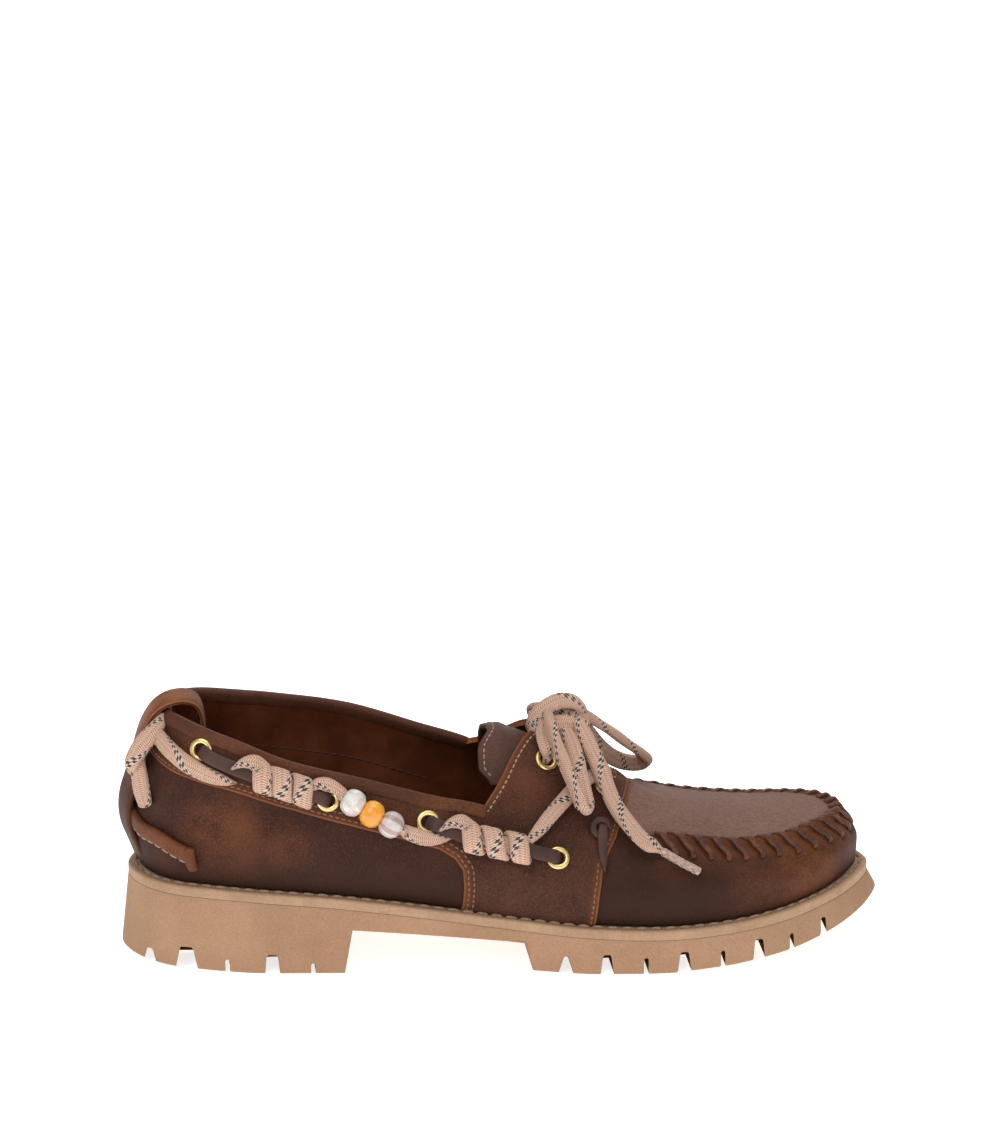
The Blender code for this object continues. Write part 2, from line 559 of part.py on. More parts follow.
def make_welt():
    return slab("welt", "welt", 0.0, sole_stations(30), welt_top,
                lambda x: welt_top(x) - WELT_THICK)


def make_insole():
    return slab("insole", "lining", FEATHER_INSET + WALL + GAP + 0.5, sole_stations(26),
                lambda x: welt_top(x) + GAP + INSOLE_THICK, lambda x: welt_top(x) + GAP)


# ---- upper ------------------------------------------------------------------
UPPER_STATIONS = ([0, 7, 14, 22, 31, 40, 51, 64, 78, 92, 106, 120, 130, 136]
                  + [140, 145, 150, 155, 160, 165, 170, 177, 184, 188, 190]
                  + [198, 207, 217, 228, 239, 250, 257, 264, 271, 278, 284, 290])
UPPER_ROWS = 9             # the sixth row lies on the seam of the plug


def make_upper():
    points, index = [], {}

    def vertex(side, i, j):
        t = UPPER_STATIONS[i]
        shared = t in (UPPER_STATIONS[0], UPPER_STATIONS[-1])
        crown = j == UPPER_ROWS and t >= THROAT_END
        if crown and t >= TOE_FAN:
            key = "pole"
        elif crown:
            key = ("crown", i)
        else:
            key = (LATERAL if shared else side, i, j)
        if key not in index:
            index[key] = len(points)
            points.append(section(side, t, top_of(side, t) * j / UPPER_ROWS))
        return index[key]

    faces = []
    for side in (LATERAL, MEDIAL):
        for i in range(len(UPPER_STATIONS) - 1):
            for j in range(UPPER_ROWS):
                corners = [vertex(side, i, j), vertex(side, i + 1, j),
                           vertex(side, i + 1, j + 1), vertex(side, i, j + 1)]
                face = []
                for c in corners if side == LATERAL else reversed(corners):
                    if c not in face:
                        face.append(c)
                faces.append(tuple(face))
    shell = add("upper", "leather", points, faces, crease=50)
    modifier(shell, "SOLIDIFY", thickness=WALL * MM, offset=-1, use_even_offset=True)
    modifier(shell, "BOOLEAN", object=hole_cutter(), operation="DIFFERENCE", solver="EXACT")
    return shell


def hole_cutter():
    """Pins through the wall where the eyelets sit."""
    radius, sides = EYELET_BORE / 2 + EYELET_SHEET + GAP, EYELET_SIDES
    points, faces = [], []
    for spot in EYELETS:
        for side in (LATERAL, MEDIAL):
            foot, normal = on_wall(side, spot.t, spot.z, 0)
            first, u = len(points), normal.orthogonal().normalized()
            for depth in (-WALL - 2, 2):
                for k in range(sides):
                    turn = 2 * math.pi * k / sides
                    points.append(foot + normal * depth + radius * (
                        u * math.cos(turn) + normal.cross(u) * math.sin(turn)))
            faces += [tuple(first + i for i in face) for face in tube_faces(2, sides)]
    cutter = add("hole_cutter", "leather", points, faces)
    cutter.hide_render = True
    cutter.display_type = "WIRE"
    return cutter


# ---- tongue and heel --------------------------------------------------------
def form_height(x, y):
    """Height of the form of the upper over a point of the plan, ahead of the collar."""
    side = LATERAL if y < 0 else MEDIAL
    low, high = 1.0, 3.0
    for _ in range(30):
        mid = (low + high) / 2
        low, high = (mid, high) if abs(section(side, x, mid).y) > abs(y) else (low, mid)
    return section(side, x, low).z


def under_form(x, y):
    """Height just below the upper's inner face."""
    z = form_height(x, y)
    slope_x = form_height(x + 0.5, y) - form_height(x - 0.5, y)
    slope_y = form_height(x, y + 0.5) - form_height(x, y - 0.5)
    return z - (WALL + GAP + 0.3) * math.sqrt(1 + slope_x ** 2 + slope_y ** 2)


def make_tongue():
    across, along = 8, 10
    points = []
    for i in range(along + 1):
        for j in range(across + 1):
            v = 2 * j / across - 1
            half = reading(TONGUE, "half", TONGUE_REAR, "x")
            rear = TONGUE_REAR - 0.012 * (v * half) ** 2 - 0.2 * v * half
            x = rear + (TONGUE_FRONT - rear) * i / along
            y = v * reading(TONGUE, "half", x)
            z = reading(TONGUE, "top", x) - reading(TONGUE, "drop", x) * abs(v) ** 2.4
            points.append(Vector((x, y, min(z, under_form(x, y)))))
    faces = [(a, a + across + 1, a + across + 2, a + 1)
             for i in range(along) for a in range(i * (across + 1), (i + 1) * (across + 1) - 1)]
    flap = add("tongue", "leather", points, faces, crease=50)
    modifier(flap, "SOLIDIFY", thickness=TONGUE_THICK * MM, offset=-1, use_even_offset=True)


def make_heel_strap():
    line = spline(HEEL_STRAP, 1)
    path = [Vector((x, 0, z)) for x, z in line]
    stops = []
    for i, p in enumerate(path):
        ahead = path[min(i + 1, len(path) - 1)] - path[max(i - 1, 0)]
        stops.append((p, Vector((-ahead.z, 0, ahead.x)).normalized(), STRAP_WIDTH, STRAP_THICK))
    strip("heel_strap", "leather", stops)


def make_heel_band():
    lift = GAP + BAND_THICK / 2 + 0.1
    stops = [(*on_wall(side, t, z, lift), BAND_WIDTH, BAND_THICK)
             for side, rows in ((LATERAL, HEEL_BAND[:0:-1]), (MEDIAL, HEEL_BAND))
             for t, z in rows]
    strip("heel_band", "rolled", route(stops))


# ---- eyelets, thongs, laces and beads ---------------------------------------
def make_eyelets():
    bore, sheet, flange = EYELET_BORE / 2, EYELET_SHEET, EYELET_FLANGE
    low, high, rim = -WALL - 0.4, GAP + flange, EYELET_OUTER / 2
    profile = [(bore, low), (bore + sheet, low), (bore + sheet, GAP), (rim, GAP),
               (rim - 1.0, high), (bore + 0.3, high)]
    for spot in EYELETS:
        for side in (LATERAL, MEDIAL):
            foot, normal = on_wall(side, spot.t, spot.z, 0)
            turned("eyelet_" + spot.name + "_" + SIDE_NAMES[side], "brass", foot, normal,
                   profile, EYELET_SIDES)


def wrap(name, side, rows):
    """Lace wound round a thong: a short sleeve, open at both ends."""
    stops = route(laid(side, rows), 1)
    path, sides = [s[0] for s in stops], 8
    points = [p for i, s in enumerate(stops) for p in ring(path, i, s[1], s[2], s[3], sides)]
    inner = [p for i, s in reversed(list(enumerate(stops)))
             for p in ring(path, i, s[1], THONG_WIDTH + 1.2, THONG_THICK + 1.2, sides)]
    return add(name, "lace", points + inner, tube_faces(2 * len(stops), sides, closed=True))


def make_side(side):
    """Thongs, wound laces and runs along one side of the upper."""
    tag = "_" + SIDE_NAMES[side]
    for name, first, rows, last in (("rear", THONG_REAR, WRAP_REAR, THONG_REAR_END),
                                    ("front", THONG_FRONT, WRAP_FRONT, THONG_FRONT_END)):
        wrap("lace_wrap_" + name + tag, side, rows)
        places = first + [(r.t, r.z, r.lift) for r in rows] + last
        thong = [Lay(*place, THONG_WIDTH, THONG_THICK) for place in places]
        strip("thong_" + name + tag, "thong", route(laid(side, thong), 1))
    middle = [Lay(t, z, BEAD_LIFT, LACE_IN_BEAD, LACE_IN_BEAD) for _, _, t, z in BEADS]
    if side == LATERAL:
        middle = [past(middle[0], middle[1])] + middle + [past(middle[-1], middle[-2])]
    else:
        middle = [row._replace(width=6.4, lift=3.8) for row in middle]
    strip("lace_side" + tag, "lace", route(laid(side, LACE_TO_BEADS + middle + LACE_FROM_BEADS)))
    strip("lace_run" + tag, "lace", route(laid(side, LACE_RUN)))
    strip("lace_tie" + tag, "lace", route(laid(side, [LACE_TIE_FOOT]) + freed(side, LACE_TIE)))


def past(bead, neighbour):
    """Row where the lace leaves the last bead, straight on from its neighbour."""
    return bead._replace(t=bead.t + (bead.t - neighbour.t) * 0.62,
                         z=bead.z + (bead.z - neighbour.z) * 0.62)


def make_beads():
    centres = [on_wall(LATERAL, t, z, BEAD_LIFT)[0] for _, _, t, z in BEADS]
    for i, (name, finish, _, _) in enumerate(BEADS):
        axis = centres[min(i + 1, 2)] - centres[max(i - 1, 0)]
        half, outer, bore = BEAD_LENGTH / 2, BEAD_SIZE / 2, BEAD_BORE / 2
        profile = [(bore, -half), (bore, half)]
        for k in range(5):
            turn = math.radians(60 - 30 * k)
            profile.append((bore + (outer - bore) * math.cos(turn) ** 0.7, half * math.sin(turn)))
        turned(name, finish, centres[i], axis, profile, 12)


def make_lace_heel():
    halves = [laid(side, LACE_HEEL) for side in (LATERAL, MEDIAL)]
    strip("lace_heel", "lace", route(halves[0] + halves[1][-2::-1], 1))
    strip("lace_twist", "lace", route(freed(LATERAL, LACE_TWIST)))


def make_lace_bar():
    halves = [laid(side, LACE_BAR) for side in (LATERAL, MEDIAL)]
    top = Vector((186.0, 0.0, form_height(186.0, 0.001) + 2.9))
    crown = [(top, Vector((0.4, 0, 1)).normalized(), 8.4, 3.0)]
    strip("lace_bar", "lace", route(halves[0] + crown + halves[1][::-1]))


# ---- bow --------------------------------------------------------------------
def make_knot():
    sides, levels = 10, 6
    centre = Vector(KNOT_PLACE)
    points = [centre + Vector((0, 0, KNOT_RADII[2])), centre - Vector((0, 0, KNOT_RADII[2]))]
    for level in range(1, levels):
        turn = math.pi * level / levels
        for k in range(sides):
            round_turn = 2 * math.pi * k / sides
            points.append(centre + Vector((KNOT_RADII[0] * math.sin(turn) * math.cos(round_turn),
                                           KNOT_RADII[1] * math.sin(turn) * math.sin(round_turn),
                                           KNOT_RADII[2] * math.cos(turn))))
    faces = [f for f in tube_faces(levels - 1, sides) if len(f) == 4]
    last = 2 + (levels - 2) * sides
    faces = [tuple(i + 2 for i in f) for f in faces]
    faces += [(0, 2 + k, 2 + (k + 1) % sides) for k in range(sides)]
    faces += [(1, last + (k + 1) % sides, last + k) for k in range(sides)]
    add("bow_knot", "lace", points, faces)


def make_cord(name, stops):
    """Free lace as a round cord along a smooth line through its stops."""
    curve = bpy.data.curves.new(name, "CURVE")
    curve.dimensions = "3D"
    curve.bevel_depth = CORD_DIAMETER / 2 * MM
    curve.bevel_resolution = 2
    curve.use_fill_caps = True
    line = [world(p) for p in spline(stops, 2)]
    poly = curve.splines.new("POLY")
    poly.points.add(len(line) - 1)
    for point, place in zip(poly.points, line):
        point.co = (*place, 1)
    curve.materials.append(material("lace"))
    obj = bpy.data.objects.new(name, curve)
    bpy.context.scene.collection.objects.link(obj)


def main():
    for obj in list(bpy.data.objects):
        bpy.data.objects.remove(obj, do_unlink=True)
    make_outsole()
    make_welt()
    make_insole()
    make_upper()
    make_tongue()
    make_heel_strap()
    make_heel_band()
    make_eyelets()
    for side in (LATERAL, MEDIAL):
        make_side(side)
    make_beads()
    make_lace_heel()
    make_lace_bar()
    make_knot()
    for name, stops in CORDS:
        make_cord(name, stops)


main()
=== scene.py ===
"""Lace-up moccasin loafer: the surface of a right shoe, built round its packed solids.

Sizes are in millimetres, with x counted from the back of the sole, until world() turns them
into metres. The upper is one smooth form: a place on it is a side, a section t along the shoe
and either a girth w (0 foot, 1 belly, 2 rim, 3 crown) or a height z.
"""
import math
from collections import namedtuple

import bpy
import numpy as np
from mathutils import Matrix, Vector
from mathutils.kdtree import KDTree

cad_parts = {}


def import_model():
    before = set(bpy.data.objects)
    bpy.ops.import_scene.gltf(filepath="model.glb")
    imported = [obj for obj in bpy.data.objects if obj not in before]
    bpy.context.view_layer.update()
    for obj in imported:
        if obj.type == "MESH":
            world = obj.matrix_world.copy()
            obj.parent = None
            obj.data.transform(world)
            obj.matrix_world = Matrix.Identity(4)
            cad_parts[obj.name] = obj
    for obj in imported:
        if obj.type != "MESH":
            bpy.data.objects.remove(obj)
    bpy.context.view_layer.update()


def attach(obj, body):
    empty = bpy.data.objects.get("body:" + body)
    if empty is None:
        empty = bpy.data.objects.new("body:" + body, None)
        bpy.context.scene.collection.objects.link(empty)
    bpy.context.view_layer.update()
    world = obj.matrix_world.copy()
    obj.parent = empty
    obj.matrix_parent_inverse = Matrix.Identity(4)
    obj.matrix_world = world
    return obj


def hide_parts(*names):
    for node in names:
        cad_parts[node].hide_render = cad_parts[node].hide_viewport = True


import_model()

bl_info = {
    "name": "Lace-up loafer",
    "version": (1, 0, 0),
    "blender": (4, 5, 0),
    "location": "View3D > Sidebar > Loafer",
    "description": "Builds the leather, sole, laces and beads of a moccasin loafer",
    "category": "Add Mesh",
}

MM = 0.001
CENTRE_X, CENTRE_Y = 146.6, -1.4      # middle of the shoe, which is the world origin
LATERAL, MEDIAL = -1, 1
SIDES = {LATERAL: "lateral", MEDIAL: "medial"}


def table(kind, fields, *rows):
    """Rows of a table, each with named fields."""
    named = namedtuple(kind, fields)
    return [named(*row) for row in rows]


# ---- sizes of the construction ----
GAP = 0.35
FEATHER_INSET = 3.8        # shelf of the welt outside the upper
WELT_THICK = 3.6
HEEL_FAN, TOE_FAN, FAN_SPAN = 40.0, 250.0, 40.0
T_END = 290.0
T_STEP, W_STEP = 0.5, 0.02      # lattice of the form, along the shoe and up its girth
HALVINGS = 26                   # halvings of a search on the form
TOE_BLEND, LEVEL_ROW = 12, -24  # the toe's normals lean to those of this row of the plug
CORNER, THROAT_END = 136.0, 190.0
SADDLE_END = 197.0         # where the saddle ends on the crown of the instep
BASE_LIFT, BASE_THICK = -0.5, 1.9
SADDLE_LIFT, SADDLE_THICK = 0.65, 1.3
STRAP_WIDTH, STRAP_THICK = 16.0, 2.6
THONG_WIDTH, THONG_THICK = 5.4, 2.0
LACE_ROUND = 20.9          # way round the flat lace
BEAD_LIFT, BEAD_SIZE = 5.8, 10.4

SOLE = table(
    "Sole", "x lateral medial top tread flare",
    (3.6, 0, 0, 33.6, 1.6, 3.2), (8, 14.4, 14.8, 33.5, 1.5, 2.9),
    (18, 25.4, 24.8, 33.4, 1.2, 2.4), (32, 31.4, 29.8, 33.1, 0.7, 1.8),
    (50, 35.8, 32, 32.2, 0, 1.2), (80, 39.2, 31.8, 29.9, 0, 0.8), (110, 42, 33, 26.3, 0, 0.4),
    (145, 46, 38.5, 21.6, 1.6, 0.2), (175, 50.6, 45.5, 18.4, 0, 0.3),
    (205, 52.4, 49.6, 17.2, 0, 0.6), (230, 50, 48.2, 18.2, 1.9, 1.2),
    (250, 43.8, 43.8, 20, 4.6, 2.2), (264, 35.2, 37.4, 21.5, 7.2, 3),
    (275, 25.4, 29.4, 22.7, 9.6, 3.5), (284, 13.2, 17.4, 23.6, 11.6, 3.9),
    (289.2, 0, 0, 24, 13, 4))
HALF_LENGTH, HALF_WIDTH = 146, 50
HEEL_BREAST, HEEL_BREAST_FOOT = 86.5, 83.5
FOREPART_STEP, FOREPART_STEP_FOOT = 152, 153.6
WAIST_UNDER = [(86.5, 17.2), (110, 15.4), (145, 12.6), (152, 11.8)]
NOTCHES = table(
    "Notch", "x mouth root depth",
    (10.5, 4, 2, 4), (24, 8, 4.6, 7.6), (39.2, 1.8, 1.4, 4.2), (56, 5.6, 4, 6.8),
    (71.3, 1.8, 1.4, 3.4), (166, 5.2, 1.4, 6), (181.5, 5, 2.8, 7.2), (196.2, 1.9, 1.5, 5.8),
    (210.8, 5.2, 3, 7.2), (225.6, 1.9, 1.4, 5.6), (239.8, 4.6, 3, 6.8), (253, 1.9, 1.2, 5),
    (266.5, 2.6, 1.8, 5))
NOTCH_REACH = 17
CHANNELS = [(17, 78), (160, 262)]
CHANNEL_WIDTH, CHANNEL_DEPTH = 4.4, 5

SECTIONS = table(
    "Section", "t bulge belly rim_lat z_lat rim_med z_med wall inner crown",
    (0, 1.9, 50, 20.4, 94.8, 20.4, 94.8, 60, 45, 96), (10, 2, 50, 21, 95.2, 21, 95, 61, 45, 96),
    (20, 2.4, 49, 23, 95.8, 22.8, 94.8, 66, 45, 96),
    (30, 2.6, 49, 25.6, 94.4, 25, 93.6, 71, 45, 95),
    (40, 2.8, 49, 27.4, 91, 26.6, 92, 75, 45, 95),
    (62, 3, 47, 31.4, 82.2, 30.4, 88.2, 76, 45, 94),
    (90, 3.2, 44, 33, 74.6, 32.4, 82.6, 72, 45, 92),
    (118, 3.4, 40, 34.2, 66.8, 33.4, 72.8, 63, 46, 89),
    (136, 3.4, 38, 34.6, 62.6, 33.6, 66.4, 57, 48, 86),
    (150, 3.4, 36, 37.6, 55.6, 35.6, 58, 52, 47, 87),
    (161, 3.2, 34, 38.2, 53, 35.6, 55, 50, 46, 85),
    (175, 3, 32, 37.6, 50.8, 34.6, 52.4, 42, 39, 74),
    (190, 2.8, 31, 36, 49.2, 33.4, 50.4, 33, 31, 61.5),
    (207, 2.6, 31, 33.2, 48, 32.4, 47.6, 27, 17, 53.4),
    (220, 2.4, 31, 32.2, 45.8, 31.8, 45.2, 24, 11, 49.4),
    (235, 2.2, 31, 31, 44.2, 31.2, 43.6, 23, 8, 47),
    (250, 1.8, 31, 26.6, 44, 30.2, 43, 25, 7, 46),
    (260, 1.3, 31, 23.8, 44.5, 30.2, 43.4, 28, 7, 46),
    (270, 0.9, 32, 23.4, 45.2, 31, 43.8, 32, 7, 46),
    (280, 0.6, 33, 25, 45, 29.4, 44.2, 36, 7, 46),
    (290, 0.5, 33, 27.4, 44.6, 27.4, 44.6, 38, 7, 46))
THROAT = table(
    "Throat", "x lateral medial",
    (136, 34.6, 33.6), (143, 26.6, 27.6), (150, 17.4, 21), (156, 10.4, 15.6), (161, 6.6, 12.4),
    (165, 5.6, 10.8), (176, 5.4, 8.4), (184, 4.8, 6), (188, 3.2, 3.6), (190, 0, 0))
TONGUE = table(
    "Tongue", "x top half drop",
    (132, 85.4, 19, 20), (141, 85.6, 20, 19), (148, 83.6, 21, 17), (155, 80.2, 22, 15),
    (165, 74.5, 22, 13), (178, 66.8, 21, 11), (190, 58, 19, 9), (206, 50, 16, 7))
TONGUE_REAR, TONGUE_FRONT, TONGUE_THICK = 141, 206, 2.4
HEEL_STRAP = [
    (7, 35.6), (4.8, 41.5), (2.2, 48.5), (1.5, 54.5), (2.2, 60.5), (3.9, 66), (5.7, 71.5),
    (7.3, 77), (8.9, 82.5), (10.6, 87.5), (12.8, 91.8), (15.8, 95.6), (20.4, 98.4), (26.6, 99.2),
    (30.7, 97.4), (32.7, 92.6), (32.7, 87.2), (29.8, 81.2), (24.6, 76.2), (19.2, 72), (15, 67.6),
    (12.4, 62.4)]

# ---- what lies on the wall: section and height, then lift, width and thickness if given ----
EYELETS = [
    ("rear", 32.2, 86.8), ("middle", 77.9, 68.2), ("front", 115.1, 59), ("side", 163.4, 44.9),
    ("top", 161.4, 75.1), ("low", 183.3, 62.4)]
HEEL_BAND = [(0, 54.6), (10, 51.3), (18, 50), (24, 47.2), (28.5, 44.8)]
WRAP_REAR = [(52.8, 77.4), (58.6, 75.7), (65.4, 73.3), (71.2, 71)]
WRAP_FRONT = [(129.4, 52.9), (136.2, 51.3), (144.6, 49.3), (151.6, 47.5)]
THONG_REAR = [
    (32.6, 86.5, 1), (34.6, 85.2, 2.9), (37.4, 83.6, 3.1), (42.5, 81.2, 3.6), (48, 79.2, 4.4)]
THONG_REAR_END = [(73.8, 70, 3.9), (76.6, 68.7, 2.8), (78.2, 68, 0.4)]
THONG_FRONT = [(115.1, 58.9, 0.6), (117.2, 58, 2.8), (120.4, 56.7, 3.2), (125.2, 54.6, 4.2)]
THONG_FRONT_END = [(155.6, 46.5, 4), (159.2, 45.7, 3.1), (161.8, 45.3, 2.2), (163.6, 45, 0.2)]
BEADS = [("marble", 86.9, 67.2), ("amber", 93.9, 62.9), ("crystal", 101, 58.9)]
LACE_TO_BEADS = [
    (72, 73.4, 4.6, 3, 2.4), (74, 74.6, 5.6, 4.4, 2.6), (77.2, 74.4, 5.8, 5, 2.8),
    (80.8, 72.4, 5.8, 4.8, 3), (83.6, 70, 5.8, 3.8, 3)]
LACE_FROM_BEADS = [
    (105.2, 56.8, 5, 4.4, 2.8), (108.6, 55.2, 4.2, 5.6, 2.8), (113.6, 53.5, 2.9, 5.8, 2.6),
    (118.6, 52.9, 2.4, 4, 2.4), (123, 53.2, 2, 1.4, 1.8)]
LACE_HEEL = [
    (43.6, 75.2, 1.6, 1.2, 1.6), (40.2, 75.9, 2, 3.8, 2.4), (35, 78, 2.4, 5.8, 2.8),
    (29, 81, 2.6, 6.6, 2.9), (22.4, 84.4, 2.7, 6.6, 2.9), (15, 86.9, 2.4, 6.4, 2.8),
    (7, 86.9, 1.7, 6.2, 2.3), (0, 86.3, 1.6, 6.2, 2.2)]
LACE_RUN = [
    (152.6, 50.4, 4.4, 3.4, 2.8), (156.4, 53.4, 4.2, 5, 3.2), (162, 58.2, 3.3, 5.8, 3.2),
    (168.4, 62.9, 3.2, 6, 3.2), (174, 65.8, 3.3, 6, 3.2), (179.6, 65.2, 3.2, 5, 3),
    (182.6, 63.2, 0.8, 3.4, 2.6)]
LACE_BAR = [(183.6, 61.6, 0.8, 3.2, 2.6), (183.6, 62.8, 3, 4.8, 3), (183.2, 65, 3.3, 5.4, 3)]
LACE_TIE_FOOT = [(161.4, 74.9, -0.1, 2.6, 2.2), (161.5, 75.9, 1.9, 4, 2.6)]

# ---- laces clear of the wall: middle, way and lean of the flat side, width, thickness ----
LACE_TWIST = [
    (18.6, -7, 93.4, -95, 30, 4.4, 2.8), (15, -11.9, 90.6, -110, 8, 6, 3.2),
    (11.3, -13.8, 87, -115, 0, 6.8, 3.4), (8.2, -14.6, 83, -120, 0, 6.8, 3.6),
    (5.9, -14.4, 78.4, -125, 0, 6, 3.6), (6, -12, 74, -130, 0, 4.6, 3)]
LACE_SHADE = [
    (8.8, -10.6, 80.4, -120, 0, 4, 2.8), (8.2, -13.4, 77, -110, 0, 5.6, 3.2),
    (8.5, -15, 72.7, -100, 0, 6.4, 3.8), (9.2, -15.9, 67.6, -94, 0, 6.4, 3.8),
    (10.2, -16.4, 62.6, -90, 0, 5.4, 3.2)]
LACE_TIE = [
    (161.6, -20.2, 80.8, -92, 40, 5.4, 3), (161, -15.4, 84.4, -95, 55, 5.8, 3),
    (161.4, -11.2, 86.8, -95, 70, 5.4, 3)]

# ---- bow: the four free ends of lace, from the knot out ----
LOOP_LATERAL = [
    (163, -11.5, 91.3), (163.4, -19, 88.8), (164.9, -25.5, 83.9), (167.2, -31, 78.1),
    (169.7, -35.5, 72), (171.9, -38, 66.4), (173.4, -38.6, 62.6), (174.9, -36, 62.8),
    (174.3, -31.8, 67.4), (173.2, -27.2, 73), (172.4, -22, 78), (170.8, -15.5, 82.9),
    (168.6, -9.5, 86.6)]
LOOP_MEDIAL = [
    (178.3, 0.6, 86.9), (184.2, 6, 81.2), (190.7, 11, 75.3), (197.2, 16, 68.8), (203.1, 22, 62.9),
    (205.8, 27.4, 58.4), (204, 30.4, 55.6), (198.6, 28, 56.8), (192.6, 22.4, 61),
    (186.6, 15.6, 67.6), (180.8, 9, 76.2), (175.6, 3.6, 84.4)]
END_LATERAL = [
    (173.4, -8, 89), (176.2, -13, 84.2), (179.8, -17.5, 76.8), (183.4, -22.4, 68),
    (186.5, -29.6, 60.6), (191.2, -37.2, 54.8), (196.3, -42.6, 50), (202, -46.2, 47.4),
    (208.6, -48.8, 43.8), (215.1, -51, 40.6)]
END_MEDIAL = [
    (166, 3.4, 86.8), (167.4, 11.6, 83.6), (171.2, 20.2, 77.2), (176.2, 29, 69.4),
    (182, 37.2, 60.4), (188.6, 43.6, 51.6), (194.8, 47.4, 44.4), (200, 49.8, 39)]


# ---- curves and tables ----
def hermite(p0, m0, p1, m1, k):
    """Cubic from p0 to p1 with end slopes m0 and m1, at k from 0 to 1."""
    return ((2 * k ** 3 - 3 * k ** 2 + 1) * p0 + (k ** 3 - 2 * k ** 2 + k) * m0
            + (3 * k ** 2 - 2 * k ** 3) * p1 + (k ** 3 - k ** 2) * m1)


def smooth(xs, ys, x):
    """Smooth reading of a table whose places xs rise, held level outside it."""
    xs, ys = np.asarray(xs, float), np.asarray(ys, float)
    x = np.clip(x, xs[0], xs[-1])
    i = np.clip(np.searchsorted(xs, x, side="right") - 1, 0, len(xs) - 2)
    before = np.maximum(np.arange(len(xs)) - 1, 0)
    after = np.minimum(np.arange(len(xs)) + 1, len(xs) - 1)
    slope = (ys[after] - ys[before]) / (xs[after] - xs[before])
    span = xs[i + 1] - xs[i]
    return hermite(ys[i], slope[i] * span, ys[i + 1], slope[i + 1] * span, (x - xs[i]) / span)


def reading(rows, column, x, key="x"):
    return smooth([getattr(r, key) for r in rows], [getattr(r, column) for r in rows], x)


def spline(points, per_span, closed=False):
    """Centripetal spline through points, with per_span steps between two of them."""
    pts = [np.asarray(p, float) for p in points]
    if closed:
        pts = [pts[-1]] + pts + pts[:2]
    else:
        pts = [2 * pts[0] - pts[1]] + pts + [2 * pts[-1] - pts[-2]]
    out = []
    for p0, p1, p2, p3 in zip(pts, pts[1:], pts[2:], pts[3:]):
        d = [max(np.linalg.norm(b - a), 1e-6) ** 0.5 for a, b in ((p0, p1), (p1, p2), (p2, p3))]
        m1 = d[1] * ((p1 - p0) / d[0] - (p2 - p0) / (d[0] + d[1]) + (p2 - p1) / d[1])
        m2 = d[1] * ((p2 - p1) / d[1] - (p3 - p1) / (d[1] + d[2]) + (p3 - p2) / d[2])
        out += [hermite(p1, m1, p2, m2, k / per_span) for k in range(per_span)]
    if not closed:
        out.append(pts[-2])
    return np.array(out)


def columns(*values):
    return np.stack(values, axis=1)


def unit(v):
    return v / np.maximum(np.linalg.norm(v, axis=-1, keepdims=True), 1e-9)


def heading(line):
    """Unit directions along a line."""
    return unit(np.gradient(line, axis=0))


def upward(directions):
    """The same directions, each turned about if it points down."""
    return directions * np.sign(directions[:, 2:3])


def ease(x, low, high):
    """Soft step from 0 at low to 1 at high."""
    k = np.clip((x - low) / (high - low), 0, 1)
    return k * k * (3 - 2 * k)


def travelled(path):
    """Way gone along a path at each of its points."""
    return np.concatenate([[0], np.cumsum(np.linalg.norm(np.diff(path, axis=0), axis=1))])


def after(ways, gone, path):
    """Points of a path where some ways along it have been gone."""
    return columns(*(np.interp(ways, gone, column) for column in path.T))


def even(path, step):
    """The path again, with points an even step apart."""
    gone = travelled(path)
    count = max(int(round(gone[-1] / step)), 2)
    return after(np.linspace(0, gone[-1], count + 1), gone, path)


def outline(inset):
    """Closed outline of the welt moved inwards by inset: points in the plan."""
    inner = SOLE[1:-1]
    knots = ([(SOLE[0].x, 0)] + [(r.x, -r.lateral) for r in inner]
             + [(SOLE[-1].x, 0)] + [(r.x, r.medial) for r in reversed(inner)])
    ring = spline(knots, 16, closed=True)
    along = np.roll(ring, -1, axis=0) - np.roll(ring, 1, axis=0)
    inward = columns(-along[:, 1], along[:, 0])
    return ring + inward / np.linalg.norm(inward, axis=1)[:, None] * inset


def half_outline(inset, side):
    """One side of the outline, from the heel to the toe, with x rising."""
    ring = outline(inset)
    start, end = int(np.argmin(ring[:, 0])), int(np.argmax(ring[:, 0]))
    order = np.roll(ring, -start, axis=0)
    end = (end - start) % len(ring)
    return order[:end + 1] if side == LATERAL else np.vstack([order[end:], order[:1]])[::-1]


def welt_top(x):
    return reading(SOLE, "top", x)


def world(points):
    return (np.asarray(points, float) - (CENTRE_X, CENTRE_Y, 0.0)) * MM


